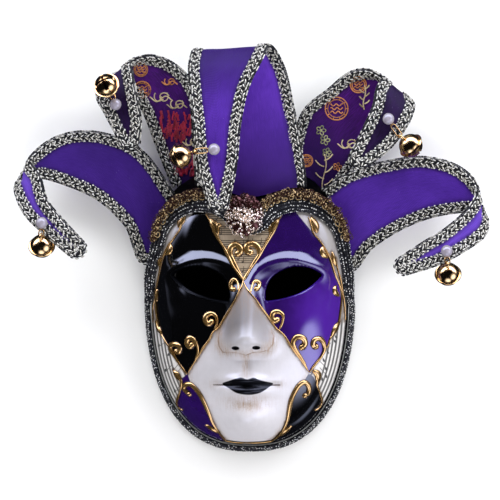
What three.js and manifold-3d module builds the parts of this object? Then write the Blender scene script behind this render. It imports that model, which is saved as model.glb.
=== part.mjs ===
// Carnival jester mask: a lacquered full-face shell under five curled cloth horns, each edged with braid
// and ending in a pearl and a jingle bell. Millimetres. The mask lies on its back: its rim rests on z = 0,
// +Z is the way the face looks, +Y points to the crown and +X to the wearer's left.
import * as THREE from "three";
import { mergeVertices } from "three/addons/utils/BufferGeometryUtils.js";
import Module from "manifold-3d";

const wasm = await Module();
wasm.setup();

// Driving dimensions
const SHELL = {
  halfWidth: 82.5, // middle line to the rim
  crown: 98, // widest line up to the rim's top
  chin: 134, // widest line down to the rim's bottom
  widestY: 29, // widest line above the middle of the nose
  crownPower: 2.8, // squareness of the rim's outline above the widest line
  chinPower: 2.45, // and below it
  depth: 58, // rim to the flat of the front, without the features
  frontPower: 2.5, // flatness of the front
  sidePower: 2.45, // steepness of the sides
  wall: 2.4,
};
const GAP = 0.35; // between pieces that touch
const BRAID = { width: 7, height: 4, sides: 6 }; // silver braid on the horns' edges
const CLOTH = 2.4; // stiffened cloth of a horn, both faces and the card between
const RIM_BRAID = { width: 7.2, archWidth: 11, height: 4, rimTilt: 87.6, sides: 6, steps: 66 };
const ARCH = { centreX: 40, centreY: 60, radius: 38, fromDeg: 172, toDeg: 34, dipY: 76, steps: 9 };
const LACE = {
  width: 8,
  height: 1.8,
  outset: 9, // from the dark braid's line, over the arches
  endOutset: 4, // and at the temples
  lift: 4.7, // above the face, at the middle
  endLift: 14, // and at the temples, where it passes over the side horns
  fromDeg: 172,
  toDeg: 42,
  dipY: 90, // at the middle, behind the brooch
};
const BROOCH = { x: -2.5, y: 86, z: 60.2, radius: 14.5, scallops: 9, scallopDepth: 1.6, plate: 3, dome: 6 };
const PIPE = { radius: 1.2, sides: 4, lift: 2.2, stepLength: 7 }; // gold relief lines on the face
const PEARL_RADIUS = 4.8;
const BELL = { radius: 9.6, wall: 0.8, flange: 11, flangeHeight: 1.6, slot: 2, loop: 2.8, loopWire: 0.7 };
const LINK = { halfWidth: 2, wire: 0.55, drop: 3.1, clear: 0.85 };

const BELL_LOOP_HEIGHT = BELL.radius + BELL.loop - 0.4; // the loop's foot is sunk 0.4 into the crown
const degrees = THREE.MathUtils.degToRad;

// Features of the face as soft rises from the dome: centre, half-sizes and height. A row off the middle
// line stands on both sides.
const FEATURES = [
  { name: "muzzle", x: 0, y: -50, wide: 30, tall: 24, rise: 11 },
  { name: "chin", x: 0, y: -84, wide: 21, tall: 15, rise: 19 },
  { name: "cheekbone", x: 48, y: -4, wide: 20, tall: 18, rise: 4 },
  { name: "brow", x: 34, y: 51, wide: 26, tall: 8, rise: 5 },
  { name: "eye socket", x: 37, y: 28, wide: 19, tall: 11, rise: -5 },
  { name: "nose wing", x: 15, y: -19, wide: 8, tall: 7, rise: 8 },
  { name: "upper lip", x: 0, y: -48.5, wide: 18, tall: 4.5, rise: 5.5 },
  { name: "lower lip", x: 0, y: -59.5, wide: 15, tall: 4.5, rise: 7 },
];
const NOSE = { topY: 42, tipY: -13, baseY: -32, topRise: 3, tipRise: 26, topWidth: 8, tipWidth: 14 };

// Eye opening on the wearer's left, mirrored to the other side: corners and the pull points between them
const EYE = {
  inner: [15.5, 16],
  innerPull: [12, 38],
  top: [38, 43.5],
  topPull: [53, 44],
  outer: [61.5, 37],
  lowerPull: [46, 19],
};

// Each horn is a tapering strip from the forehead to its tip, curled over towards the front. A row is one
// section: edge a, edge b and how far the cloth bows out of the straight line between them. The pearl's
// foot is above the middle of the cloth's thickness.
const HORNS = {
  left_side: {
    rows: [
      { ax: -52, ay: 90, az: 17, bx: -74, by: 54, bz: 10, bow: 0 },
      { ax: -62, ay: 104, az: 20, bx: -89, by: 46, bz: 12, bow: 0 },
      { ax: -90, ay: 141, az: 25, bx: -103, by: 77, bz: 20, bow: -2 },
      { ax: -125, ay: 155, az: 27, bx: -124, by: 98, bz: 24, bow: -1 },
      { ax: -154, ay: 153, az: 29, bx: -151, by: 111, bz: 27, bow: 0 },
      { ax: -173, ay: 142, az: 32, bx: -176, by: 117, bz: 31, bow: 0 },
      { ax: -179, ay: 131, az: 41, bx: -191, by: 109, bz: 41, bow: 0 },
      { ax: -170, ay: 119, az: 52, bx: -189, by: 99, bz: 51, bow: 0 },
      { ax: -163, ay: 98, az: 57, bx: -181, by: 85, bz: 56, bow: 0 },
      { ax: -149, ay: 81, az: 59, bx: -164, by: 69, bz: 59, bow: 0 },
      { ax: -133, ay: 64, az: 60, bx: -145, by: 53, bz: 60, bow: 0 },
    ],
    pearl: { along: 0.86, across: 0.7, foot: 2.35 },
    bell: { reach: 11.3, toward: [-0.1, -1, 0], hang: [-0.03, -0.62, -0.78] },
  },
  left_back: {
    rows: [
      { ax: -21, ay: 92, az: 15, bx: -53, by: 84, bz: 11, bow: 0 },
      { ax: -27, ay: 127, az: 16, bx: -66, by: 115, bz: 12, bow: 0 },
      { ax: -36, ay: 164, az: 17, bx: -78, by: 145, bz: 13, bow: 0 },
      { ax: -47, ay: 197, az: 20, bx: -87, by: 169, bz: 16, bow: 0 },
      { ax: -64, ay: 213, az: 25, bx: -97, by: 187, bz: 21, bow: 0 },
      { ax: -81, ay: 218, az: 31, bx: -112, by: 197, bz: 29, bow: 0 },
      { ax: -95, ay: 213, az: 39, bx: -123, by: 191, bz: 38, bow: 0 },
      { ax: -94, ay: 200, az: 46, bx: -124, by: 182, bz: 45, bow: 0 },
      { ax: -90, ay: 180, az: 50, bx: -117, by: 169, bz: 49, bow: 0 },
      { ax: -87, ay: 162, az: 52, bx: -110, by: 156, bz: 51, bow: 0 },
      { ax: -88, ay: 149, az: 52, bx: -104, by: 144, bz: 52, bow: 0 },
    ],
    pearl: { along: 0.79, across: 0.6, foot: 2.4 },
    bell: { reach: 11.6, toward: [-0.4, 0.9, 0], hang: [-0.22, 0.42, 0.88] },
  },
  centre: {
    rows: [
      { ax: 42, ay: 84, az: 30, bx: -40, by: 84, bz: 30, bow: -15 },
      { ax: 47, ay: 109, az: 31, bx: -43, by: 109, bz: 31, bow: -15 },
      { ax: 44, ay: 138, az: 34, bx: -45, by: 139, bz: 34, bow: -10 },
      { ax: 37, ay: 176, az: 37, bx: -47, by: 176, bz: 37, bow: -6 },
      { ax: 29, ay: 209, az: 42, bx: -48, by: 207, bz: 42, bow: -3 },
      { ax: 19, ay: 224, az: 54, bx: -45, by: 220, bz: 54, bow: -1 },
      { ax: 12, ay: 211, az: 67, bx: -47, by: 206, bz: 67, bow: 0 },
      { ax: 1, ay: 187, az: 73, bx: -45, by: 183, bz: 73, bow: 0 },
      { ax: -5, ay: 158, az: 76, bx: -42, by: 156, bz: 76, bow: 0 },
      { ax: -8, ay: 126, az: 77, bx: -39, by: 125, bz: 77, bow: 0 },
      { ax: -14, ay: 96, az: 77, bx: -31, by: 95, bz: 77, bow: 0 },
    ],
    pearl: { along: 0.86, across: 0.56, foot: 2.3 },
    bell: { reach: 16.8, toward: [-1, -0.1, 0], hang: [-0.9, -0.28, -0.36] },
  },
  right_back: {
    rows: [
      { ax: 28, ay: 92, az: 15, bx: 58, by: 84, bz: 11, bow: 0 },
      { ax: 35, ay: 139, az: 16, bx: 78, by: 113, bz: 12, bow: 0 },
      { ax: 45, ay: 173, az: 18, bx: 94, by: 135, bz: 14, bow: 0 },
      { ax: 65, ay: 190, az: 21, bx: 110, by: 156, bz: 18, bow: 0 },
      { ax: 83, ay: 204, az: 25, bx: 124, by: 171, bz: 24, bow: 0 },
      { ax: 96, ay: 206, az: 30, bx: 132, by: 180, bz: 31, bow: 0 },
      { ax: 109, ay: 199, az: 38, bx: 136, by: 176, bz: 39, bow: 0 },
      { ax: 105, ay: 189, az: 46, bx: 134, by: 167, bz: 46, bow: 0 },
      { ax: 102, ay: 175, az: 50, bx: 127, by: 154, bz: 50, bow: 0 },
      { ax: 94, ay: 156, az: 53, bx: 114, by: 138, bz: 52, bow: 0 },
      { ax: 85, ay: 138, az: 54, bx: 97, by: 125, bz: 53, bow: 0 },
    ],
    pearl: { along: 0.81, across: 0.5, foot: 2.35 },
    bell: { reach: 18.1, toward: [0.6, -0.8, 0], hang: [0.64, -0.54, -0.52] },
  },
  right_side: {
    rows: [
      { ax: 47, ay: 90, az: 17, bx: 70, by: 52, bz: 9, bow: 0 },
      { ax: 59, ay: 106, az: 20, bx: 85, by: 40, bz: 11, bow: 0 },
      { ax: 83, ay: 122, az: 25, bx: 102, by: 59, bz: 19, bow: 2 },
      { ax: 116, ay: 131, az: 27, bx: 123, by: 73, bz: 24, bow: 1 },
      { ax: 145, ay: 134, az: 29, bx: 146, by: 83, bz: 27, bow: 0 },
      { ax: 171, ay: 127, az: 32, bx: 170, by: 88, bz: 30, bow: 0 },
      { ax: 184, ay: 116, az: 37, bx: 187, by: 88, bz: 35, bow: 0 },
      { ax: 186, ay: 106, az: 44, bx: 195, by: 79, bz: 43, bow: 0 },
      { ax: 180, ay: 93, az: 52, bx: 193, by: 69, bz: 51, bow: 0 },
      { ax: 162, ay: 76, az: 57, bx: 177, by: 57, bz: 56, bow: 0 },
      { ax: 143, ay: 64, az: 59, bx: 156, by: 46, bz: 59, bow: 0 },
      { ax: 123, ay: 51, az: 60, bx: 131, by: 38, bz: 60, bow: 0 },
    ],
    pearl: { along: 0.87, across: 0.68, foot: 1.7 },
    bell: { reach: 11.3, toward: [0.1, -1, 0], hang: [0.05, -0.62, -0.78] },
  },
};
const PANEL_STEPS = 24; // sections along a horn
const PANEL_ACROSS = 4; // points across one face of its cloth

// Gold relief lines on the wearer's left half, mirrored to the other: points seen from the front
const PIPES = [
  { name: "brow line", points: [[31, 89], [14, 55], [0, 34]] },
  { name: "nose line", points: [[0, 34], [9, 14], [23, -6], [38, -26], [51, -47]] },
  { name: "outer line", points: [[48, 86], [59, 66], [70, 42], [75, 22], [74, 6], [67, -18], [51, -47]] },
  { name: "jaw line", points: [[51, -47], [45, -52], [38, -59], [33, -75], [27, -91], [17, -99]] },
  { name: "cheek line", points: [[51, -47], [56, -58], [58, -68]] },
  { name: "brow curl", points: [[7, 45], [11, 55], [9, 59], [5, 57]] },
  { name: "bridge curl", points: [[2, 32], [6, 26], [8, 29], [6, 32]] },
  { name: "cheek curl", points: [[23, -6], [29, -2], [28, 4], [24, 3]] },
  { name: "inner tear curl", points: [[42, -33], [45, -24], [41, -19], [38, -22]] },
  { name: "outer tear curl", points: [[57, -36], [57, -25], [53, -20], [51, -24]] },
  { name: "jaw curl", points: [[40, -56.5], [46, -58], [48, -63], [45, -65]] },
];

const FINISHES = {
  lacquer: { color: "#e8e4ea", roughness: 0.15, metalness: 0 },
  gold: { color: "#b98a3a", roughness: 0.3, metalness: 1 },
  darkBraid: { color: "#26272c", roughness: 0.6, metalness: 0.3 },
  silverBraid: { color: "#8f8f86", roughness: 0.5, metalness: 0.5 },
  goldLace: { color: "#8a6630", roughness: 0.5, metalness: 0.7 },
  satin: { color: "#43259a", roughness: 0.55, metalness: 0 },
  brocade: { color: "#2b1150", roughness: 0.6, metalness: 0 },
  pearl: { color: "#e9e4f0", roughness: 0.2, metalness: 0 },
};

// Geometry from loose vertices and triangles, turned so that its faces point out
function closedGeometry(vertices, triangles) {
  const [a, b, c] = [new THREE.Vector3(), new THREE.Vector3(), new THREE.Vector3()];
  let volume = 0;
  for (const [i, j, k] of triangles) {
    volume += a.copy(vertices[i]).dot(b.copy(vertices[j]).cross(c.copy(vertices[k])));
  }
  const index = triangles.flatMap(([i, j, k]) => (volume > 0 ? [i, j, k] : [i, k, j]));
  return new THREE.BufferGeometry().setFromPoints(vertices).setIndex(index);
}

// Solid through rings with the same number of points: joined end to end, or with a fan over each end
function loft(rings, joined = false) {
  const count = rings[0].length;
  const vertices = rings.flat();
  const triangles = [];
  const spans = joined ? rings.length : rings.length - 1;
  for (let i = 0; i < spans; i++) {
    const next = (i + 1) % rings.length;
    for (let j = 0; j < count; j++) {
      const k = (j + 1) % count;
      const corners = [i * count + j, i * count + k, next * count + k, next * count + j];
      triangles.push([corners[0], corners[1], corners[2]], [corners[0], corners[2], corners[3]]);
    }
  }
  if (!joined) {
    [0, rings.length - 1].forEach((end) => {
      const middle = new THREE.Vector3();
      rings[end].forEach((point) => middle.addScaledVector(point, 1 / count));
      const hub = vertices.push(middle) - 1;
      for (let j = 0; j < count; j++) {
        const pair = [end * count + j, end * count + ((j + 1) % count)];
        triangles.push(end === 0 ? [hub, pair[1], pair[0]] : [hub, pair[0], pair[1]]);
      }
    });
  }
  return closedGeometry(vertices, triangles);
}

// Closed mesh to a solid for cutting and joining, and back
function solidOf(geometry) {
  const bare = geometry.clone();
  ["normal", "uv"].forEach((name) => bare.deleteAttribute(name));
  const merged = mergeVertices(bare, 1e-4);
  return new wasm.Manifold(
    new wasm.Mesh({
      numProp: 3,
      vertProperties: merged.attributes.position.array,
      triVerts: new Uint32Array(merged.index.array),
    }),
  );
}

function geometryOf(solid) {
  const mesh = solid.getMesh();
  return new THREE.BufferGeometry()
    .setAttribute("position", new THREE.BufferAttribute(mesh.vertProperties, 3))
    .setIndex(new THREE.BufferAttribute(mesh.triVerts, 1));
}

function piece(name, geometry, finish) {
  const mesh = new THREE.Mesh(geometry, new THREE.MeshStandardMaterial(FINISHES[finish]));
  mesh.name = name;
  return mesh;
}

// The face's outer surface
function rimRadius(angle) {
  const [reach, power] =
    Math.sin(angle) > 0 ? [SHELL.crown, SHELL.crownPower] : [SHELL.chin, SHELL.chinPower];
  const across = Math.abs(Math.cos(angle) / SHELL.halfWidth) ** power;
  const along = Math.abs(Math.sin(angle) / reach) ** power;
  return (across + along) ** (-1 / power);
}

function noseRise(x, y) {
  if (y > NOSE.topY || y < NOSE.baseY) return 0;
  const down = THREE.MathUtils.clamp((NOSE.topY - y) / (NOSE.topY - NOSE.tipY), 0, 1);
  const under = THREE.MathUtils.smoothstep(y, NOSE.baseY, NOSE.tipY);
  const width = THREE.MathUtils.lerp(NOSE.topWidth, NOSE.tipWidth, down);
  const ridge = THREE.MathUtils.lerp(NOSE.topRise, NOSE.tipRise, down ** 1.2);
  const top = THREE.MathUtils.smoothstep(NOSE.topY - y, 0, NOSE.topY / 2);
  return ridge * top * under ** 0.6 * Math.exp(-((Math.abs(x) / width) ** 2.4));
}

function featureRise(x, y) {
  return FEATURES.reduce((sum, f) => {
    const sides = f.x === 0 ? [0] : [f.x, -f.x];
    return sides.reduce(
      (part, side) => part + f.rise * Math.exp(-(((x - side) / f.wide) ** 2) - ((y - f.y) / f.tall) ** 2),
      sum,
    );
  }, noseRise(x, y));
}

// Point of the face at an angle round the widest line's middle and a tilt, 0 at the front and 90 at the rim
function facePoint(angle, tilt) {
  const share = Math.sin(tilt) ** (2 / SHELL.frontPower);
  const x = rimRadius(angle) * share * Math.cos(angle);
  const y = SHELL.widestY + rimRadius(angle) * share * Math.sin(angle);
  const dome = SHELL.depth * Math.abs(Math.cos(tilt)) ** (2 / SHELL.sidePower);
  return new THREE.Vector3(x, y, dome + featureRise(x, y) * (1 - share ** 8));
}

function faceNormal(angle, tilt) {
  const step = 0.01;
  const around = facePoint(angle + step, tilt).sub(facePoint(angle - step, tilt));
  const outer = facePoint(angle, Math.min(tilt + step, Math.PI / 2));
  const down = outer.sub(facePoint(angle, Math.max(tilt - step, step / 10)));
  return down.cross(around).normalize();
}

function tiltOfShare(share) {
  return Math.asin(Math.min(share, 1) ** (SHELL.frontPower / 2));
}

// Point and normal of the face under a point seen from the front
function seatOnFace(x, y) {
  const angle = Math.atan2(y - SHELL.widestY, x);
  const tilt = tiltOfShare(Math.hypot(x, y - SHELL.widestY) / rimRadius(angle));
  return { point: facePoint(angle, tilt), normal: faceNormal(angle, tilt) };
}

// Rings of the face from the bridge of the nose to the rim, closest together where the features are
const FACE_SHARES = [
  0.03, 0.11, 0.19, 0.27, 0.34, 0.4, 0.45, 0.5, 0.55, 0.6, 0.65, 0.7, 0.76, 0.82, 0.88, 0.935, 0.98, 1,
];
const FACE_COLUMNS = 44;
const CHIN_CROWDING = 0.5; // share by which the columns stand closer towards the chin

function faceRings(lift) {
  return FACE_SHARES.map((share) =>
    Array.from({ length: FACE_COLUMNS }, (_, j) => {
      const turn = (j / FACE_COLUMNS) * 2 * Math.PI;
      const angle = turn - CHIN_CROWDING * Math.cos(turn);
      const tilt = tiltOfShare(share);
      const point = facePoint(angle, tilt).addScaledVector(faceNormal(angle, tilt), lift);
      if (share === 1) point.z = 0;
      return point;
    }),
  );
}

function eyeCutter(side) {
  const [inner, outer, top] = [EYE.inner, EYE.outer, EYE.top].map(([x, y]) => [x * side, y]);
  const shape = new THREE.Shape()
    .moveTo(...inner)
    .quadraticCurveTo(EYE.innerPull[0] * side, EYE.innerPull[1], ...top)
    .quadraticCurveTo(EYE.topPull[0] * side, EYE.topPull[1], ...outer)
    .quadraticCurveTo(EYE.lowerPull[0] * side, EYE.lowerPull[1], ...inner);
  const through = { depth: 2 * SHELL.depth, bevelEnabled: false, curveSegments: 5 };
  return new THREE.ExtrudeGeometry(shape, through);
}

function faceShell() {
  const wall = loft([...faceRings(0), ...faceRings(-SHELL.wall).reverse()]);
  const open = [1, -1].reduce((solid, side) => solid.subtract(solidOf(eyeCutter(side))), solidOf(wall));
  return geometryOf(open);
}

// The face's filled outside, grown by the gap: what rests on the face is cut back to it
const FACE_BLOCK_DEPTH = 12;
function faceBlock() {
  const rings = faceRings(GAP);
  const foot = rings.at(-1).map((point) => point.clone().setZ(-FACE_BLOCK_DEPTH));
  return solidOf(loft([...rings, foot]));
}
const FACE_BLOCK = faceBlock();
const cutBack = (geometry, block) => geometryOf(solidOf(geometry).subtract(block));

// Ring of a flat braid: an even-sided rounded section across and along a normal
function bandRing(centre, across, normal, width, height, sides) {
  return Array.from({ length: sides }, (_, k) => {
    const turn = ((k + 0.5) / sides) * 2 * Math.PI;
    const reach = 1 / Math.cos(Math.PI / sides);
    return centre
      .clone()
      .addScaledVector(across, (width / 2) * reach * Math.cos(turn))
      .addScaledVector(normal, (height / 2) * reach * Math.sin(turn));
  });
}

// Band of a varying width along seats on the face
function bandOnSeats(seats, width, height, sides, joined) {
  const rings = seats.map((seat, i) => {
    const last = seats.length - 1;
    const before = seats[joined ? (i + last) % seats.length : Math.max(i - 1, 0)].point;
    const after = seats[joined ? (i + 1) % seats.length : Math.min(i + 1, last)].point;
    const across = after.clone().sub(before).cross(seat.normal).normalize();
    return bandRing(seat.point, across, seat.normal, width(seat), height, sides);
  });
  return loft(rings, joined);
}

// Half of the trim's line over the brow, from the temple over the arch to the dip at the middle
function archPoints(outset, fromDeg, toDeg, dipY) {
  const points = Array.from({ length: ARCH.steps }, (_, i) => {
    const turn = degrees(THREE.MathUtils.lerp(fromDeg, toDeg, i / (ARCH.steps - 1)));
    const radius = ARCH.radius + outset;
    return [ARCH.centreX * -1 + radius * Math.cos(turn), ARCH.centreY + radius * Math.sin(turn)];
  });
  return [...points, [0, dipY]];
}

const mirrored = (points) => points.map(([x, y]) => [-x, y]).reverse();

// Dark braid: along the rim under the jaw, then up over both arches of the brow. Grown, and sunk into the
// face, it is the room that the horns and the lace leave for it.
function rimBraid(grown = 0, sunk = 0) {
  const half = archPoints(0, ARCH.fromDeg, ARCH.toDeg, ARCH.dipY);
  const arches = [...half, ...mirrored(half).slice(1)].map(([x, y]) => {
    const seat = seatOnFace(x, y);
    return { ...seat, arch: THREE.MathUtils.smoothstep(seat.point.z, RIM_BRAID.width, SHELL.depth / 2) };
  });
  const jawSteps = 40;
  const jaw = Array.from({ length: jawSteps }, (_, i) => {
    const angle = degrees(THREE.MathUtils.lerp(4, -184, i / (jawSteps - 1)));
    const tilt = degrees(RIM_BRAID.rimTilt);
    return { point: facePoint(angle, tilt), normal: faceNormal(angle, tilt), arch: 0 };
  });
  const lift = 0.7 * RIM_BRAID.height + GAP - sunk / 2;
  const stations = [...arches, ...jaw];
  const curve = (pick) => new THREE.CatmullRomCurve3(stations.map(pick), true);
  const points = curve(({ point, normal }) => point.clone().addScaledVector(normal, lift));
  const normals = curve(({ normal }) => normal);
  const widths = curve(({ arch }) => new THREE.Vector3(arch, 0, 0));
  const seats = Array.from({ length: RIM_BRAID.steps }, (_, i) => ({
    point: points.getPoint(i / RIM_BRAID.steps),
    normal: normals.getPoint(i / RIM_BRAID.steps).normalize(),
    arch: widths.getPoint(i / RIM_BRAID.steps).x,
  }));
  const width = ({ arch }) => grown + THREE.MathUtils.lerp(RIM_BRAID.width, RIM_BRAID.archWidth, arch);
  return bandOnSeats(seats, width, RIM_BRAID.height + grown + sunk, RIM_BRAID.sides, true);
}
const TRIM_BLOCK = [0, RIM_BRAID.height].reduce(
  (block, sunk) => block.add(solidOf(rimBraid(2 * GAP, sunk))),
  FACE_BLOCK,
);

// Gold lace: a flat frill that stands in front of the horns, outside the dark braid
function goldLace() {
  const line = (outset, dipY) => archPoints(outset, LACE.fromDeg, LACE.toDeg, dipY);
  const [full, ends] = [line(LACE.outset, LACE.dipY), line(LACE.endOutset, LACE.dipY)];
  const feet = line(0, ARCH.dipY).map(([x, y]) => seatOnFace(x, y).point);
  const left = full.map(([fullX, fullY], i) => {
    const [endX, endY] = ends[i];
    const open = THREE.MathUtils.smoothstep(i, 0, ARCH.steps / 2);
    const [x, y] = [THREE.MathUtils.lerp(endX, fullX, open), THREE.MathUtils.lerp(endY, fullY, open)];
    const lift = THREE.MathUtils.lerp(LACE.endLift, LACE.lift, i / (feet.length - 1));
    return new THREE.Vector3(x, y, feet[i].z + lift);
  });
  const right = left.slice(0, -1).map((point) => point.clone().setX(-point.x)).reverse();
  const curve = new THREE.CatmullRomCurve3([...left, ...right]);
  const steps = 44;
  const seats = Array.from({ length: steps + 1 }, (_, i) => ({
    point: curve.getPoint(i / steps),
    normal: new THREE.Vector3(0, 0, 1),
  }));
  return cutBack(bandOnSeats(seats, () => LACE.width, LACE.height, 6, false), TRIM_BLOCK);
}

// Filigree brooch in the dip of the trim: a scalloped plate under a low dome
function brooch() {
  const outline = Array.from({ length: BROOCH.scallops * 4 }, (_, i) => {
    const turn = (i / (BROOCH.scallops * 4)) * 2 * Math.PI;
    const radius = BROOCH.radius + BROOCH.scallopDepth * Math.cos(BROOCH.scallops * turn);
    return new THREE.Vector2(radius * Math.cos(turn), radius * Math.sin(turn));
  });
  const plate = new THREE.ExtrudeGeometry(new THREE.Shape(outline), {
    depth: BROOCH.plate,
    bevelEnabled: false,
  });
  const foot = BROOCH.radius * 0.85;
  const profile = [[0, BROOCH.plate / 2], [foot, BROOCH.plate / 2], [foot, BROOCH.plate]];
  profile.push([foot * 0.75, BROOCH.dome * 0.85], [foot * 0.4, BROOCH.dome], [0, BROOCH.dome]);
  const dome = new THREE.LatheGeometry(profile.map(([r, z]) => new THREE.Vector2(r, z)), 18);
  dome.rotateX(Math.PI / 2);
  return geometryOf(solidOf(plate).add(solidOf(dome)));
}

// Gold relief: every line and its mirror image, joined into one network
function pipeOnFace(points) {
  const flat = new THREE.SplineCurve(points.map(([x, y]) => new THREE.Vector2(x, y)));
  const steps = Math.max(4, Math.ceil(flat.getLength() / PIPE.stepLength));
  const seats = flat.getPoints(steps).map(({ x, y }) => {
    const seat = seatOnFace(x, y);
    seat.point.addScaledVector(seat.normal, PIPE.lift);
    return seat;
  });
  return bandOnSeats(seats, () => 2 * PIPE.radius, 2 * PIPE.radius, PIPE.sides, false);
}

function goldRelief() {
  const both = PIPES.flatMap(({ points }) => [points, points.map(([x, y]) => [-x, y])]);
  const solids = both.map((points) => solidOf(pipeOnFace(points)));
  return geometryOf(solids.reduce((joined, solid) => joined.add(solid)).subtract(FACE_BLOCK));
}

// A horn's surface: place along it from foot to tip, place across it from edge a to edge b
function hornSurface(rows) {
  const curve = (pick) => new THREE.CatmullRomCurve3(rows.map(pick), false, "centripetal");
  const edgeA = curve((row) => new THREE.Vector3(row.ax, row.ay, row.az));
  const edgeB = curve((row) => new THREE.Vector3(row.bx, row.by, row.bz));
  const bow = new THREE.CatmullRomCurve3(rows.map((row, i) => new THREE.Vector3(i, row.bow, 0)));
  const middle = (along) => edgeA.getPoint(along).lerp(edgeB.getPoint(along), 0.5);
  const frame = (along) => {
    const step = 0.004;
    const ahead = middle(Math.min(along + step, 1)).sub(middle(Math.max(along - step, 0)));
    const across = edgeB.getPoint(along).sub(edgeA.getPoint(along));
    const width = across.length();
    across.normalize();
    const square = (edge) => edge.getTangent(along).cross(across).length();
    const slant = { a: 1 / square(edgeA), b: 1 / square(edgeB) };
    const normal = across.clone().cross(ahead).normalize();
    return { across, width, slant, normal, ahead: ahead.normalize() };
  };
  const point = (along, share) => {
    const { normal } = frame(along);
    const rise = bow.getPoint(along).y * 4 * share * (1 - share);
    return edgeA.getPoint(along).lerp(edgeB.getPoint(along), share).addScaledVector(normal, rise);
  };
  return { point, frame };
}

// Cloth between the two braids, up to where they meet
function hornPanel(surface, braidRoom) {
  const inset = BRAID.width + 2 * GAP;
  const rings = [];
  for (let i = 0; i <= PANEL_STEPS; i++) {
    const along = i / PANEL_STEPS;
    const { width, normal, slant } = surface.frame(along);
    if (width < (slant.a + slant.b) * inset + 1.5) break;
    const [first, last] = [(inset * slant.a) / width, 1 - (inset * slant.b) / width];
    const shares = Array.from({ length: PANEL_ACROSS }, (_, j) =>
      THREE.MathUtils.lerp(first, last, j / (PANEL_ACROSS - 1)),
    );
    const face = (lift, list) =>
      list.map((share) => surface.point(along, share).addScaledVector(normal, lift));
    rings.push([...face(CLOTH / 2, shares), ...face(-CLOTH / 2, shares.reverse())]);
  }
  return cutBack(loft(rings), TRIM_BLOCK.add(solidOf(braidRoom)));
}

// Braid up edge a, round the tip and back down edge b
function hornBraid(surface, grown = 0) {
  const half = BRAID.width / 2;
  const run = Array.from({ length: PANEL_STEPS + 1 }, (_, i) => i / PANEL_STEPS);
  const edge = (along, fromA) => {
    const { width, normal, slant } = surface.frame(along);
    const share = fromA ? (half * slant.a) / width : 1 - (half * slant.b) / width;
    return { point: surface.point(along, share), normal };
  };
  const { across, ahead, normal, width } = surface.frame(1);
  const tipMiddle = surface.point(1, 0.5);
  const turnRadius = width / 2 - half;
  const tip = [-60, -20, 20, 60].map((turnDeg) => ({
    point: tipMiddle
      .clone()
      .addScaledVector(across, turnRadius * Math.sin(degrees(turnDeg)))
      .addScaledVector(ahead, turnRadius * Math.cos(degrees(turnDeg))),
    normal,
  }));
  const seats = [
    ...run.map((along) => edge(along, true)),
    ...tip,
    ...run.reverse().map((along) => edge(along, false)),
  ];
  return bandOnSeats(seats, () => BRAID.width + grown, BRAID.height + grown, BRAID.sides, false);
}

// Jingle bell about its own axis: a thin hollow ball with a flange round its middle, crossed slots below
// and a wire loop on its crown
function bellGeometry() {
  const arc = (radius, fromDeg, toDeg, steps) =>
    Array.from({ length: steps + 1 }, (_, i) => {
      const turn = degrees(THREE.MathUtils.lerp(fromDeg, toDeg, i / steps));
      return new THREE.Vector2(radius * Math.cos(turn), radius * Math.sin(turn));
    });
  const axis = (point) => point.setX(Math.max(point.x, 0));
  const rise = Math.asin(BELL.flangeHeight / 2 / BELL.radius) * THREE.MathUtils.RAD2DEG;
  const outside = [
    ...arc(BELL.radius, -90, -rise, 3),
    new THREE.Vector2(BELL.flange, -BELL.flangeHeight / 2),
    new THREE.Vector2(BELL.flange, BELL.flangeHeight / 2),
    ...arc(BELL.radius, rise, 90, 3),
  ].map(axis);
  const inside = arc(BELL.radius - BELL.wall, -90, 90, 6).map(axis);
  const turned = (profile) => solidOf(new THREE.LatheGeometry(profile, 12).rotateX(Math.PI / 2));
  const slotLength = 2 * BELL.radius;
  const slot = new THREE.BoxGeometry(slotLength * 0.8, BELL.slot, BELL.radius);
  slot.translate(0, 0, -BELL.radius);
  const crossed = slot.clone().rotateZ(Math.PI / 2);
  const loop = new THREE.TorusGeometry(BELL.loop, BELL.loopWire, 5, 10).rotateX(Math.PI / 2);
  loop.translate(0, 0, BELL_LOOP_HEIGHT);
  const hollow = turned(outside).add(solidOf(loop)).subtract(turned(inside));
  return geometryOf(hollow.subtract(solidOf(slot)).subtract(solidOf(crossed)));
}
const BELL_GEOMETRY = bellGeometry();

// Oval wire link between two points, flat in the plane that a normal stands on
function linkGeometry(from, to, normal) {
  const ahead = to.clone().sub(from).normalize();
  const side = normal.clone().cross(ahead).normalize();
  const up = ahead.clone().cross(side);
  const centres = [
    { centre: from.clone().addScaledVector(ahead, LINK.halfWidth), startDeg: 90 },
    { centre: to.clone().addScaledVector(ahead, -LINK.halfWidth), startDeg: -90 },
  ];
  const turns = [0, 45, 90, 135, 180];
  const seats = centres.flatMap(({ centre, startDeg }) =>
    turns.map((turn) => ({
      point: centre
        .clone()
        .addScaledVector(ahead, LINK.halfWidth * Math.cos(degrees(startDeg + turn)))
        .addScaledVector(side, LINK.halfWidth * Math.sin(degrees(startDeg + turn))),
      normal: up,
    })),
  );
  return bandOnSeats(seats, () => 2 * LINK.wire, 2 * LINK.wire, 4, true);
}

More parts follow.
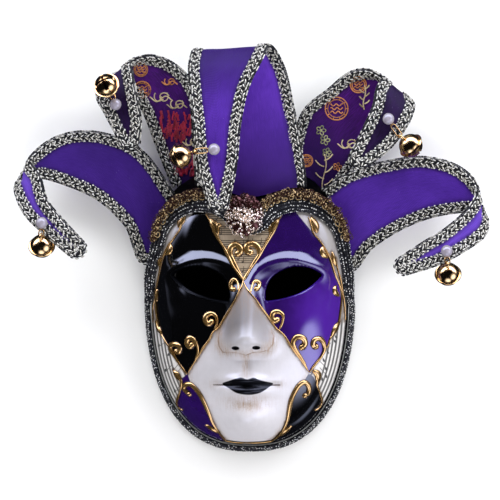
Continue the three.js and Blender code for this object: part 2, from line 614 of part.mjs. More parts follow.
// Pearl on a horn's curled end, with the bell that hangs from it on a wire link
function charms(name, surface, { pearl, bell }) {
  const { normal } = surface.frame(pearl.along);
  const front = normal.z > 0 ? normal : normal.clone().negate();
  const seat = surface.point(pearl.along, pearl.across);
  const pearlAt = seat.clone().addScaledVector(front, pearl.foot + PEARL_RADIUS);
  const toward = new THREE.Vector3(...bell.toward).projectOnPlane(front).normalize();
  const hang = new THREE.Vector3(...bell.hang).normalize();
  const level = pearlAt.clone().addScaledVector(front, -LINK.drop);
  const loopAt = level.clone().addScaledVector(toward, bell.reach);
  const pearlSide = Math.sqrt(PEARL_RADIUS ** 2 - LINK.drop ** 2) + LINK.wire + LINK.clear;
  const from = level.clone().addScaledVector(toward, pearlSide);
  const to = loopAt.clone().addScaledVector(hang, -BELL.loop + BELL.loopWire + LINK.wire + LINK.clear);

  const ball = piece(`pearl_${name}`, new THREE.SphereGeometry(PEARL_RADIUS, 12, 8), "pearl");
  ball.position.copy(pearlAt);
  const link = piece(`link_${name}`, linkGeometry(from, to, front), "gold");
  const jingle = piece(`bell_${name}`, BELL_GEOMETRY, "gold");
  const up = hang.clone().negate();
  const side = hang.clone().cross(front).normalize();
  const turned = new THREE.Matrix4().makeBasis(side.clone().cross(up), side, up);
  jingle.quaternion.setFromRotationMatrix(turned);
  jingle.position.copy(loopAt).addScaledVector(hang, BELL_LOOP_HEIGHT);
  return [ball, link, jingle];
}

function horn(name) {
  const surface = hornSurface(HORNS[name].rows);
  const group = new THREE.Group();
  const cloth = name.endsWith("back") ? "brocade" : "satin";
  group.add(piece(`horn_${name}`, hornPanel(surface, hornBraid(surface, 2 * GAP)), cloth));
  group.add(piece(`braid_${name}`, cutBack(hornBraid(surface), TRIM_BLOCK), "silverBraid"));
  group.add(...charms(name, surface, HORNS[name]));
  return group;
}

function face() {
  const group = new THREE.Group();
  const clasp = piece("brow_brooch", brooch(), "gold");
  clasp.position.set(BROOCH.x, BROOCH.y, BROOCH.z);
  group.add(piece("face_shell", faceShell(), "lacquer"));
  group.add(piece("gold_relief", goldRelief(), "gold"));
  group.add(piece("rim_braid", cutBack(rimBraid(), FACE_BLOCK), "darkBraid"));
  group.add(piece("gold_lace", goldLace(), "goldLace"));
  group.add(clasp);
  return group;
}

// The origin is on the resting plane, under the middle of the whole mask
const mask = new THREE.Group();
mask.add(face(), ...Object.keys(HORNS).map(horn));
const middle = new THREE.Box3().setFromObject(mask, true).getCenter(new THREE.Vector3());
mask.position.set(-middle.x, -middle.y, 0);

const part = new THREE.Group();
part.add(mask);

export default part;
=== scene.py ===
import math
import bmesh
import bpy
import numpy as np
from mathutils import Matrix, Vector


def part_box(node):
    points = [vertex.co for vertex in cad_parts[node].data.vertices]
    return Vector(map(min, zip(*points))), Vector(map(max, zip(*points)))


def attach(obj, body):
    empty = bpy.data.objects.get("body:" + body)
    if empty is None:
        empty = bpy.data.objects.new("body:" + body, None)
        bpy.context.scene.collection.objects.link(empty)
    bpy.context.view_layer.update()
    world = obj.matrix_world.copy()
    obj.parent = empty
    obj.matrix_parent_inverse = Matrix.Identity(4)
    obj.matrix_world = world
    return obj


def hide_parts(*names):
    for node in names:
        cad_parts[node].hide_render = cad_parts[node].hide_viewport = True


# Carnival jester mask: lacquered face, gold relief, five braid-edged cloth horns with pearls and bells.
# Shapes are worked out in millimetres on the mask (x from its middle line, z up from its rim), then placed.

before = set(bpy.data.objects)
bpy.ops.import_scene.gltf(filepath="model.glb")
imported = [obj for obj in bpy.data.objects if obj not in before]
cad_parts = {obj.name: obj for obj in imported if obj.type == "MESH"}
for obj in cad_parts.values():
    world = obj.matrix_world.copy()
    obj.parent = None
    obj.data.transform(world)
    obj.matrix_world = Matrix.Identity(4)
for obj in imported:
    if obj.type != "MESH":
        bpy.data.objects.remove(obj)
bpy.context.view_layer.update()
bpy.ops.object.select_all(action="DESELECT")
scene = bpy.context.scene
scene.view_settings.view_transform = "Standard"
scene.view_settings.look = "None"

faceLow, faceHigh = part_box("face_shell")
maskShift = np.array([(faceLow.x + faceHigh.x) * 500, faceHigh.y * 1000 - 127.0, 0.0])


def inFrame(points):  # mask millimetres to metres in the CAD frame
    return (np.asarray(points, float) + maskShift) / 1000


def unit(vectors):
    return vectors / np.maximum(np.linalg.norm(vectors, axis=-1, keepdims=True), 1e-9)


def smoothStep(value, low, high):
    share = np.clip((value - low) / (high - low), 0, 1)
    return share * share * (3 - 2 * share)


def smoothCurve(knots, closed=False):  # centripetal curve through the knots, as the CAD part has
    knots = np.asarray(knots, float)
    count = len(knots)

    def at(share):
        place = np.atleast_1d(share) * (count if closed else count - 1)
        first = np.floor(place).astype(int)
        if closed:
            corners = [knots[(first + k) % count] for k in (-1, 0, 1, 2)]
        else:
            first = np.clip(first, 0, count - 2)
            padded = np.vstack([2 * knots[0] - knots[1], knots, 2 * knots[-1] - knots[-2]])
            corners = [padded[first + k] for k in range(4)]
        w = (place - first)[:, None]
        p0, p1, p2, p3 = corners
        gap = [np.sqrt(np.linalg.norm(b - a, axis=1))[:, None] for a, b in ((p0, p1), (p1, p2), (p2, p3))]
        d1 = np.where(gap[1] < 1e-4, 1, gap[1])
        d0, d2 = (np.where(g < 1e-4, d1, g) for g in (gap[0], gap[2]))
        t1 = ((p1 - p0) / d0 - (p2 - p0) / (d0 + d1) + (p2 - p1) / d1) * d1
        t2 = ((p2 - p1) / d1 - (p3 - p1) / (d1 + d2) + (p3 - p2) / d2) * d1
        return (p1 + t1 * w + (3 * (p2 - p1) - 2 * t1 - t2) * w**2 + (2 * (p1 - p2) + t1 + t2) * w**3)

    return at


def pickAt(places, rows, where):  # rows of values at some places along a line
    return np.column_stack([np.interp(where, places, column) for column in np.asarray(rows).T])


def runOf(points):  # length along a line up to each of its points
    return np.concatenate([[0], np.cumsum(np.linalg.norm(np.diff(points, axis=0), axis=1))])


def evenly(points, spacing, *others):  # points at an even spacing along a line, with what goes with them
    run = runOf(points)
    places = np.linspace(0, run[-1], max(3, int(run[-1] / spacing) + 1))
    return [places] + [pickAt(run, rows, places) for rows in (points, *others)]


def alongOf(points, closed=False):  # unit direction along a line
    if closed:
        return unit(np.roll(points, -1, axis=0) - np.roll(points, 1, axis=0))
    return unit(np.gradient(points, axis=0))


def upward(count):
    return np.tile([0, 0, 1.0], (count, 1))


# Parts of joined meshes: points, faces with four corners, uv for each corner
def sweep(centres, ups, halfWide, halfHigh, corners=6, closed=False, places=None):
    ahead = alongOf(centres, closed)
    sides = unit(np.cross(ups, ahead))
    ups = np.cross(ahead, sides)
    count = len(centres)
    halfWide, halfHigh = (np.broadcast_to(np.asarray(h, float), count) for h in (halfWide, halfHigh))
    turn = (np.arange(corners) + 0.5) / corners * 2 * np.pi
    rings = (centres[:, None] + sides[:, None] * (halfWide[:, None] * np.cos(turn))[..., None]
             + ups[:, None] * (halfHigh[:, None] * np.sin(turn))[..., None])
    row = np.arange(count if closed else count - 1)[:, None]
    here, after = row * corners, (row + 1) % count * corners
    j = np.arange(corners)[None]
    k = (j + 1) % corners
    faces = np.stack([here + j, here + k, after + k, after + j], -1).reshape(-1, 4)
    places = runOf(centres) if places is None else places
    ends = np.append(places, places[-1] + (places[1] - places[0]))
    limits = (ends[row], ends[row + 1], j / corners, (j + 1) / corners)
    low, high, left, right = (np.broadcast_to(limit, (len(row), corners)) for limit in limits)
    uv = np.stack([np.stack(pair, -1) for pair in ((left, low), (right, low), (right, high), (left, high))], 2)
    uv = uv.reshape(-1, 4, 2)
    if not closed:
        fan = np.array([[0, 2 * m - 1, 2 * m, 2 * m + 1] for m in range(1, corners // 2)])
        faces = np.vstack([faces, fan[:, ::-1], fan + (count - 1) * corners])
        uv = np.vstack([uv, np.zeros((2 * len(fan), 4, 2))])
    return rings.reshape(-1, 3), faces, uv


def strew(proto, places, xAxes, yAxes, zAxes, slot, tones):  # joined copies of one small part, a tone for each
    points, faces, uv = proto
    moved = (places[:, None] + points[None, :, :1] * xAxes[:, None] + points[None, :, 1:2] * yAxes[:, None]
             + points[None, :, 2:] * zAxes[:, None])
    start = (np.arange(len(places)) * len(points))[:, None, None]
    joined = (faces[None] + start).reshape(-1, 4)
    return moved.reshape(-1, 3), joined, np.tile(uv, (len(places), 1, 1)), slot, np.repeat(tones, len(points))


def tumbled(rng, count, tilt, upright, sizes):  # axes of copies that lie at random, each at its own size
    z = unit(rng.normal(0, tilt, (count, 3)) + np.array([0, 0, upright]))
    x = unit(np.cross(z, rng.normal(0, 1, (count, 3))))
    size = rng.uniform(*sizes, count)[:, None]
    return x * size, np.cross(z, x) * size, z * size


def slanted(forth, face, degrees):  # axes of stitches on a face, turned away from the line by some degrees
    turn = np.radians(degrees)[:, None]
    way = forth * np.cos(turn) + unit(np.cross(forth, face)) * np.sin(turn)
    return unit(np.cross(way, face)), way, face


def beadPart(radius, corners=6):
    heights = np.array([-0.97, -0.62, 0.0, 0.62, 0.97])
    centres = np.column_stack([0 * heights, 0 * heights, heights * radius])
    half = np.sqrt(1 - heights**2) * radius
    return sweep(centres, np.tile([0, 1.0, 0], (len(heights), 1)), half, half, corners)


def grainPart(length, wide, high, corners=4):  # one fat stitch, pointed at both ends
    shares = np.array([0, 0.28, 0.72, 1])
    swell = np.array([0.3, 1, 1, 0.3])
    centres = np.column_stack([0 * shares, (shares - 0.5) * length, 0.12 * length * np.sin(np.pi * shares)])
    return sweep(centres, upward(len(shares)), swell * wide / 2, swell * high / 2, corners)


def dress(piece, materials):
    for material in materials:
        piece.data.materials.append(material)


# one object from parts of (points, faces, uv, material, tone)
def newPiece(name, parts, materials, smooth=True):
    mesh = bpy.data.meshes.new(name)
    points, faces, uv, slots, tones, start = [], [], [], [], [], 0
    for corners, quads, lay, slot, tone in parts:
        points.append(corners)
        faces.append(quads + start)
        uv.append(lay)
        slots.append(np.full(len(quads), slot))
        tones.append(np.broadcast_to(np.asarray(tone, float), len(corners)))
        start += len(corners)
    points, faces, uv = np.vstack(points), np.vstack(faces).astype(np.int32), np.vstack(uv)
    mesh.vertices.add(len(points))
    mesh.loops.add(faces.size)
    mesh.loops.foreach_set("vertex_index", faces.ravel())
    mesh.polygons.add(len(faces))
    mesh.polygons.foreach_set("loop_start", np.arange(0, faces.size, 4, dtype=np.int32))
    mesh.polygons.foreach_set("material_index", np.concatenate(slots).astype(np.int32))
    mesh.uv_layers.new(name="lay").data.foreach_set("uv", uv.astype(np.float32).ravel())
    piece = bpy.data.objects.new(name, mesh)
    scene.collection.objects.link(piece)
    mesh.vertices.foreach_set("co", inFrame(points).astype(np.float32).ravel())
    setValues(piece, "tone", np.concatenate(tones))
    mesh.update(calc_edges=True)
    mesh.validate()
    mesh.polygons.foreach_set("use_smooth", np.full(len(mesh.polygons), smooth))
    dress(piece, materials)
    return piece


def settle(piece, slot, *nodes):  # rides on the mask, stands for CAD nodes
    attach(piece, "root")
    if nodes:
        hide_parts(*nodes)
    return piece


def makeActive(piece):
    bpy.ops.object.select_all(action="DESELECT")
    piece.select_set(True)
    bpy.context.view_layer.objects.active = piece


def setPoints(piece, points):
    piece.data.vertices.foreach_set("co", inFrame(points).astype(np.float32).ravel())
    piece.data.update()


def setValues(piece, name, values):
    layer = piece.data.attributes.new(name, "FLOAT", "POINT")
    layer.data.foreach_set("value", np.asarray(values, np.float32))


def newGrid(name, columns, rows):  # a flat grid as a new piece, with each point's share across and along
    bpy.ops.object.select_all(action="DESELECT")
    bpy.ops.mesh.primitive_grid_add(x_subdivisions=columns, y_subdivisions=rows, size=1)
    piece = bpy.context.object
    piece.name = piece.data.name = name
    flat = np.zeros(len(piece.data.vertices) * 3, np.float32)
    piece.data.vertices.foreach_get("co", flat)
    return piece, flat.reshape(-1, 3).astype(float) + 0.5


def giveWall(piece, thick, offset, inner=0):  # a sheet gets its thickness, and its own material inside
    wall = piece.modifiers.new("wall", "SOLIDIFY")
    wall.thickness, wall.offset, wall.material_offset = thick / 1000, offset, inner
    bpy.ops.object.modifier_apply(modifier="wall")


def inEditMode(*steps):  # each step acts on the whole of the active piece
    bpy.ops.object.mode_set(mode="EDIT")
    bpy.ops.mesh.select_all(action="SELECT")
    for step in steps:
        step()
    bpy.ops.object.mode_set(mode="OBJECT")


def weld():
    bpy.ops.mesh.remove_doubles(threshold=1e-6)


def faceOut():
    bpy.ops.mesh.normals_make_consistent(inside=False)


# Camera: a long lens straight over the face, a little to the mask's left side
cameraSetup = {"target": (1.52, 57.4, 40.0), "lean": (0.038, 0.0, 1.0), "distance": 2.0, "viewWidth": 0.41}
target = Vector(inFrame([cameraSetup["target"]])[0])
lean = Vector(cameraSetup["lean"]).normalized()
bpy.ops.object.camera_add(location=target + lean * cameraSetup["distance"])
camera = bpy.context.object
camera.data.lens = camera.data.sensor_width * cameraSetup["distance"] / cameraSetup["viewWidth"]
camera.data.clip_end = 50
crownWay = (Vector((0, 1, 0)) - lean * lean.y).normalized()  # the crown is up in the picture
camera.rotation_euler = Matrix((crownWay.cross(lean), crownWay, lean)).transposed().to_euler()
scene.camera = camera
print("camera set")


# Shader helpers
def put(tree, kind, wires=None, **settings):
    made = tree.nodes.new(kind)
    for key, value in settings.items():
        setattr(made, key, value)
    for key, value in (wires or {}).items():
        if isinstance(value, bpy.types.NodeSocket):
            tree.links.new(value, made.inputs[key])
        else:
            made.inputs[key].default_value = value
    return made


def newFinish(name, **sockets):
    material = bpy.data.materials.new(name)
    material.use_nodes = True
    tree = material.node_tree
    tree.nodes.clear()
    shader = put(tree, "ShaderNodeBsdfPrincipled", {k.replace("_", " "): v for k, v in sockets.items()})
    put(tree, "ShaderNodeOutputMaterial", {"Surface": shader.outputs["BSDF"]})
    return material, tree, shader


def maths(tree, operation, first, second=0.0):
    return put(tree, "ShaderNodeMath", {0: first, 1: second}, operation=operation).outputs[0]


def times(tree, first, second):
    return maths(tree, "MULTIPLY", first, second)


def plus(tree, first, second):
    return maths(tree, "ADD", first, second)


def blend(tree, share, first, second):
    return put(tree, "ShaderNodeMix", {0: share, 6: first, 7: second}, data_type="RGBA").outputs[2]


def wire(tree, node, **sockets):
    for key, value in sockets.items():
        tree.links.new(value, node.inputs[key.replace("_", " ")])


def between(tree, value, low, high, toLow=0.0, toHigh=1.0):
    wires = {"Value": value, "From Min": low, "From Max": high, "To Min": toLow, "To Max": toHigh}
    return put(tree, "ShaderNodeMapRange", wires, interpolation_type="SMOOTHSTEP").outputs["Result"]


def attribute(tree, name):
    return put(tree, "ShaderNodeAttribute", attribute_name=name).outputs["Fac"]


def noise(tree, coordinates, scale, detail=3.0, roughness=0.55):
    wires = {"Vector": coordinates, "Scale": scale, "Detail": detail, "Roughness": roughness}
    return put(tree, "ShaderNodeTexNoise", wires).outputs["Fac"]


def objectPlace(tree):
    return put(tree, "ShaderNodeTexCoord").outputs["Object"]


def uvPlace(tree):
    return put(tree, "ShaderNodeTexCoord").outputs["UV"]


def scaled(tree, place, scale, shift=(0, 0, 0)):
    return put(tree, "ShaderNodeMapping", {"Vector": place, "Scale": scale, "Location": shift}).outputs[0]


def axesOf(tree, place):
    return put(tree, "ShaderNodeSeparateXYZ", {0: place}).outputs


def bump(tree, shader, height, strength, distance):
    wires = {"Height": height, "Strength": strength, "Distance": distance}
    wire(tree, shader, Normal=put(tree, "ShaderNodeBump", wires).outputs["Normal"])


def newGroup(name, takes, gives):
    group = bpy.data.node_groups.new(name, "ShaderNodeTree")
    for label, value in takes.items():
        kind = "NodeSocketVector" if value is None else "NodeSocketFloat"
        socket = group.interface.new_socket(label, in_out="INPUT", socket_type=kind)
        if value is not None:
            socket.default_value = value
    for label in gives:
        group.interface.new_socket(label, in_out="OUTPUT", socket_type="NodeSocketFloat")
    return group, group.nodes.new("NodeGroupInput").outputs, group.nodes.new("NodeGroupOutput")


def useGroup(tree, group, wires):
    return put(tree, "ShaderNodeGroup", wires, node_tree=group).outputs


# Shared effect: twisted yarn, from the place along and round a thread
twistGroup, twistIn, twistOut = newGroup("yarnTwist", {"Lay": None, "Turns": 1.2, "Seed": 0.0},
                                         ["Ridge", "Fleck"])
lay = axesOf(twistGroup, twistIn["Lay"])
turns = times(twistGroup, lay["Y"], twistIn["Turns"])
slant = plus(twistGroup, times(twistGroup, lay["X"], 2.0), turns)
ridge = maths(twistGroup, "ABSOLUTE", maths(twistGroup, "SINE", times(twistGroup, slant, math.pi)))
spot = put(twistGroup, "ShaderNodeCombineXYZ", {0: turns, 1: twistIn["Seed"], 2: lay["X"]}).outputs[0]
wire(twistGroup, twistOut, Ridge=ridge, Fleck=noise(twistGroup, spot, 1.7, 2.0))

# Shared effect: fine plain weave with slubs, from a piece's own lay in millimetres
weaveGroup, weaveIn, weaveOut = newGroup("clothWeave", {"Lay": None, "Pitch": 0.55}, ["Height", "Slub"])
lay = axesOf(weaveGroup, weaveIn["Lay"])
across, along = (maths(weaveGroup, "DIVIDE", lay[axis], weaveIn["Pitch"]) for axis in "XY")
warp, weft = (maths(weaveGroup, "SINE", times(weaveGroup, v, math.pi)) for v in (across, along))
slub = noise(weaveGroup, scaled(weaveGroup, weaveIn["Lay"], (1.4, 0.12, 1.0)), 1.0, 4.0)
wire(weaveGroup, weaveOut, Height=times(weaveGroup, warp, weft), Slub=slub)

# Shared effect: printed staves with notes, from millimetres along and across them
staff = {"pitch": 12.6, "lineGap": 1.8, "high": 9.0, "noteGap": 3.6, "stem": 4.6, "notes": 0.7}
staffGroup, staffIn, staffOut = newGroup("staffPrint", {"Along": 0.0, "Across": 0.0, "Bold": 0.5}, ["Ink"])
step = lambda *terms: maths(staffGroup, *terms)
square = lambda value: step("POWER", step("ABSOLUTE", value), 2.0)
inStaff = step("FLOORED_MODULO", staffIn["Across"], staff["pitch"])
lineOff = step("SUBTRACT", step("FLOORED_MODULO", inStaff, staff["lineGap"]), staff["lineGap"] / 2)
thin = step("MULTIPLY", staffIn["Bold"], 0.5)
staffLine = step("MULTIPLY", between(staffGroup, step("ABSOLUTE", lineOff), staffIn["Bold"], thin),
                 step("LESS_THAN", inStaff, staff["high"]))
cell = put(staffGroup, "ShaderNodeCombineXYZ", {
    0: step("FLOOR", step("DIVIDE", staffIn["Along"], staff["noteGap"])),
    1: step("FLOOR", step("DIVIDE", staffIn["Across"], staff["pitch"])), 2: 3.0}).outputs[0]
luck = put(staffGroup, "ShaderNodeTexWhiteNoise", {"Vector": cell}).outputs
there = put(staffGroup, "ShaderNodeSeparateColor", {0: luck["Color"]}).outputs[1]
inCell = step("FLOORED_MODULO", staffIn["Along"], staff["noteGap"])
rise = step("SUBTRACT", inStaff, step("ADD", step("MULTIPLY", luck["Value"], 8.0), 1.2))
head = step("ADD", square(step("SUBTRACT", inCell, 1.3)), square(step("MULTIPLY", rise, 1.25)))
stem = step("MULTIPLY", between(staffGroup, step("ABSOLUTE", step("SUBTRACT", inCell, 2.15)), 0.32, 0.16),
            step("MULTIPLY", step("GREATER_THAN", rise, 0.0), step("LESS_THAN", rise, staff["stem"])))
notes = step("MULTIPLY", step("MAXIMUM", between(staffGroup, head, 1.1, 0.6), stem),
             step("GREATER_THAN", there, 1 - staff["notes"]))
wire(staffGroup, staffOut, Ink=step("MAXIMUM", step("MULTIPLY", staffLine, 0.9), notes))

# Shared effect: old metal, dark in the hollows and uneven on top
agedGroup, agedIn, agedOut = newGroup(
    "agedMetal", {"Place": None, "Crest": 0.5, "Scale": 900.0, "Wear": 0.7}, ["Patina", "Rough"])
cloud = noise(agedGroup, agedIn["Place"], agedIn["Scale"], 4.0)
uneven = times(agedGroup, maths(agedGroup, "SUBTRACT", cloud, 0.5), agedIn["Wear"])
patina = between(agedGroup, plus(agedGroup, agedIn["Crest"], uneven), 0.68, 0.18)
wire(agedGroup, agedOut, Patina=patina, Rough=between(agedGroup, cloud, 0.3, 0.75, 0.12, 0.24))


# gold, brass and rose metal with patina in the hollows
def metalFinish(name, bright, dark, scale, wear=0.7, metal=1.0, **sockets):
    material, tree, shader = newFinish(name, Metallic=metal, **sockets)
    place = objectPlace(tree)
    crest = attribute(tree, "tone")
    aged = useGroup(tree, agedGroup, {"Place": place, "Crest": crest, "Scale": scale, "Wear": wear})
    wire(tree, shader, Base_Color=blend(tree, aged["Patina"], bright, dark), Roughness=aged["Rough"])
    bump(tree, shader, noise(tree, place, scale * 0.6, 2.0), 0.06, 0.0004)
    return material


# yarn with light and dark plies; low and high: where it turns from dark to bright
def threadFinish(name, bright, dark, turns, metallic, low, high, rough, **sockets):
    material, tree, shader = newFinish(name, Roughness=rough, Metallic=metallic, **sockets)
    tone = attribute(tree, "tone")
    yarn = useGroup(tree, twistGroup, {"Lay": uvPlace(tree), "Turns": turns, "Seed": tone})
    shine = plus(tree, times(tree, yarn["Ridge"], 0.45), plus(tree, times(tree, yarn["Fleck"], 0.55), tone))
    wire(tree, shader, Base_Color=blend(tree, between(tree, shine, low, high), dark, bright))
    bump(tree, shader, yarn["Ridge"], 0.5, 0.0003)
    return material


goldFinish = metalFinish("goldPaint", (0.72, 0.42, 0.13, 1), (0.04, 0.014, 0.004, 1), 110.0, 0.16, 0.88,
                         Coat_Weight=0.9, Coat_Roughness=0.08)
brassFinish = metalFinish("polishedBrass", (0.8, 0.52, 0.22, 1), (0.22, 0.1, 0.035, 1), 260.0)
roseFinish = metalFinish("roseFiligree", (1.0, 0.84, 0.68, 1), (0.085, 0.03, 0.024, 1), 420.0, 0.5, 0.75)
silverThread = threadFinish("silverThread", (0.88, 0.85, 0.75, 1), (0.018, 0.018, 0.016, 1),
                            0.7, 0.4, 0.25, 0.95, 0.26)
blackThread = threadFinish("blackThread", (0.02, 0.02, 0.023, 1), (0.003, 0.003, 0.004, 1),
                           0.9, 0.0, 0.5, 1.1, 0.6, Specular_IOR_Level=0.25)
# white grains on the dark braid: glints of metal thread, and painted highlights of the glossy black thread
glintThread = threadFinish("metalThreadGlint", (0.9, 0.9, 0.88, 1), (0.025, 0.025, 0.028, 1), 0.8, 0.2, 0.3, 1.2,
                          0.3)
laceThread = threadFinish("goldLaceThread", (0.92, 0.66, 0.32, 1), (0.05, 0.018, 0.005, 1), 1.1, 0.5, 0.35, 1.5,
                          0.26)
print("shared finishes made")

# Face: the CAD part's surface, with finer brows, lips and nostrils
shell = {"halfWidth": 82.5, "crown": 98.0, "chin": 134.0, "widestY": 29.0, "crownPower": 2.8, "chinPower": 2.45,
         "depth": 58.0, "frontPower": 2.5, "sidePower": 2.45, "wall": 2.4, "columns": 320, "rings": 128}
features = [  # x, y, half width, half height, rise; off the middle line on both sides
    (0, -50, 30, 24, 11), (0, -84, 21, 15, 19), (48, -4, 20, 18, 4), (37, 32, 19, 8, -4.5),
    (15, -19, 8, 7, 8), (0, -48.2, 17, 4.2, 5.2), (0, -57.6, 14, 4.6, 6.6)]
nose = {"topY": 42.0, "tipY": -13.0, "baseY": -32.0, "topRise": 3.0, "tipRise": 26.0, "topWidth": 8.0,
        "tipWidth": 14.0}
brow = {"crest": [(2.9, 33.4), (8.7, 39.0), (16.9, 44.7), (26.7, 48.0), (34.9, 48.8), (43.1, 48.4),
                  (51.3, 46.3), (60.0, 43.6), (66.0, 40.0)],
        "slope": 0.53, "lower": 5.0, "shiftX": -1.2,
        "reach": [(0, 3.0), (3, 4.4), (9, 7.2), (17, 8.4), (27, 8.8), (35, 8.8), (43, 7.8), (51, 6.0),
                  (60, 2.6), (68, 2.0)]}
eye = {"inner": (15.5, 16.0), "innerPull": (12.0, 38.0), "top": (38.0, 43.5), "topPull": (53.0, 44.0),
       "outer": (61.5, 37.0), "lowerPull": (46.0, 19.0), "edgeRound": 1.0}
mouth = {"y": -52.2, "halfWidth": 27.3, "depth": 2.2, "thick": 2.1}
nostrils = [(-9.0, -21.8), (7.8, -21.4)]
# spots of brown wash with painted shade in the creases
brownWashAndShadeSpots = [  # share, x, y, half width, half height; right of the middle line on both sides
    (0.75, -0.8, -36, 2.6, 8), (0.8, 0, -69, 15, 4.5), (0.4, 18, -22, 7, 6), (0.3, 27, -52, 6, 4),
    (0.3, 0, -63.5, 20, 3)]

# lines that two painted fields share, from the bridge of the nose outwards and down
bridge = [(-3.4, 32.2)]
leftBrow = [(-11.6, 44.4), (-18.9, 59), (-27.3, 73.7)]
rightBrow = [(7.1, 49.3), (15.2, 62.3), (22.4, 75.3)]
leftSlope = [(-6.5, 22.6), (-14.7, 7.9), (-23.8, -6), (-27.9, -9.3), (-36.2, -22.4), (-43.8, -34.8),
             (-49.5, -44.1)]
rightSlope = [(2.5, 22.6), (10.5, 12), (18.5, 0.5), (23.3, -6), (29, -10.9), (37.9, -24.9), (46.7, -37.4),
              (50, -43.3)]
leftCheek = [(-46.7, -52.3), (-38.4, -62.1), (-32.1, -76.3), (-29.1, -84.8), (-20.8, -99.1), (-8.4, -108.6)]
rightCheek = [(45.9, -49.8), (38.5, -57.9), (33.5, -73.8), (29.2, -88.3), (18.1, -101), (1.7, -108.6)]
paint = {
    "upperLeft": [(-39.3, 95.9), (-34.1, 86.8)] + leftBrow[::-1] + bridge + leftSlope + [
        (-59.9, -30.3), (-67.6, -18.2), (-72.9, -10.1), (-75.6, -2), (-77.5, 6.2), (-77.9, 16.1), (-77.9, 22.7),
        (-73.6, 36.8), (-69.2, 53.3), (-64.9, 61.5), (-55.6, 74.6), (-47.3, 84.4)],
    "upperRight": [(33.6, 96.7), (28.8, 86.8)] + rightBrow[::-1] + bridge + rightSlope + [
        (59.8, -29.5), (64.7, -21.4), (70.4, -9.2), (73.7, -1.9), (75.3, 7.9), (76.1, 16.2), (74.5, 28.6),
        (68.8, 44.3), (66.3, 51.7), (57.3, 66.4), (49.2, 76.2), (41.8, 85.2)],
    "lowerLeft": leftSlope[-1:] + leftCheek + [
        (-8.4, -114), (-45, -114), (-70, -89), (-61.9, -77.3), (-59.5, -68.3), (-55.3, -56), (-55.1, -48.4)],
    "lowerRight": rightSlope[-1:] + rightCheek + [
        (1.7, -114), (45, -114), (70, -89), (59.5, -74.9), (60, -68.4), (56.4, -54.4), (54, -46.7)],
    "centre": bridge + rightSlope + rightCheek + leftCheek[::-1] + leftSlope[::-1],
    "lips": [(-20.5, -51.5), (-13.8, -48.4), (-8.9, -46.6), (-4.8, -45.8), (-1.5, -46.8), (0.6, -47.1),
             (3.0, -46.5), (5.4, -45.9), (9.8, -47.6), (15.3, -49.3), (21, -51.2), (16.8, -54.7), (11.2, -58.2),
             (4.1, -59.9), (-1.6, -59.9), (-9, -58.4), (-14.8, -55.1)],
    "browPaper": [(-34.1, 88)] + leftBrow[::-1] + bridge + rightBrow + [(28.8, 88), (22, 102), (-28, 102)],
    "noseLine": [(-22.6, -10), (-23.7, -15.7), (-22.9, -21.3), (-19.6, -25.6), (-12.9, -25.6), (-7.1, -25.8),
                 (-0.7, -27.9), (5.1, -25.3), (11.5, -25), (17.1, -23.6), (21, -18.8), (21.8, -13.2),
                 (20.1, -9.2)],
}


def flatCurve(knots, share, closed=False):  # smooth curve through flat knots
    return smoothCurve([(*knot, 0) for knot in knots], closed)(share)[:, :2]


def mound(x, y, middleX, middleY, wide, tall):  # a soft round rise, 1 in its middle
    return np.exp(-(((x - middleX) / wide) ** 2) - ((y - middleY) / tall) ** 2)


def rimRadius(angle):
    up = np.sin(angle) > 0
    reach, power = (np.where(up, shell["crown"], shell["chin"]),
                    np.where(up, shell["crownPower"], shell["chinPower"]))
    across, along = np.abs(np.cos(angle) / shell["halfWidth"]) ** power, np.abs(np.sin(angle) / reach) ** power
    return (across + along) ** (-1 / power)


def lineDistance2d(x, y, line):  # distance to a line of points
    line = np.asarray(line, float)
    best = np.full(x.shape, 1e9)
    for a, b in zip(line[:-1], line[1:]):
        run = b - a
        t = np.clip(((x - a[0]) * run[0] + (y - a[1]) * run[1]) / max(run @ run, 1e-12), 0, 1)
        best = np.minimum(best, np.hypot(x - a[0] - t * run[0], y - a[1] - t * run[1]))
    return best


def insideBy(x, y, outline):  # distance into a closed outline, negative outside
    outline = np.asarray(outline, float)
    ring = np.vstack([outline, outline[:1]])
    inside = np.zeros(x.shape, bool)
    for a, b in zip(ring[:-1], ring[1:]):
        if a[1] != b[1]:
            crosses = (a[1] > y) != (b[1] > y)
            inside ^= crosses & (x < (b[0] - a[0]) * (y - a[1]) / (b[1] - a[1]) + a[0])
    return np.where(inside, 1, -1) * lineDistance2d(x, y, ring)


def softRamp(d, wide):  # 0 below 0, rising evenly above it, with a rounded corner
    return wide * np.logaddexp(0, d / wide)


def browRise(x, y):
    rise = np.zeros(x.shape)
    for side in (1, -1):
        crest = flatCurve(brow["crest"], np.linspace(0, 1, 60)) * (side, 1) + (brow["shiftX"], 0)
        heading = crest[np.argsort(crest[:, 0])]
        above = np.where(y > np.interp(x, heading[:, 0], heading[:, 1]), 1, -1)
        d = above * lineDistance2d(x, y, crest)
        off = side * (x - brow["shiftX"])
        fade = smoothStep(off, -1, 6) * smoothStep(off, 72, 60)
        # wide in the ridge's middle, running out at both ends
        reach = np.interp(off, *np.array(brow["reach"]).T)
        over = softRamp(d, 0.7) - softRamp(d - reach, 1.2)
        under = softRamp(-d, 0.9) - softRamp(-d - brow["lower"], 1.4)
        rise += fade * brow["slope"] * reach * np.clip(1 - over / reach - 0.95 * under / brow["lower"], -1, 1)
    return rise


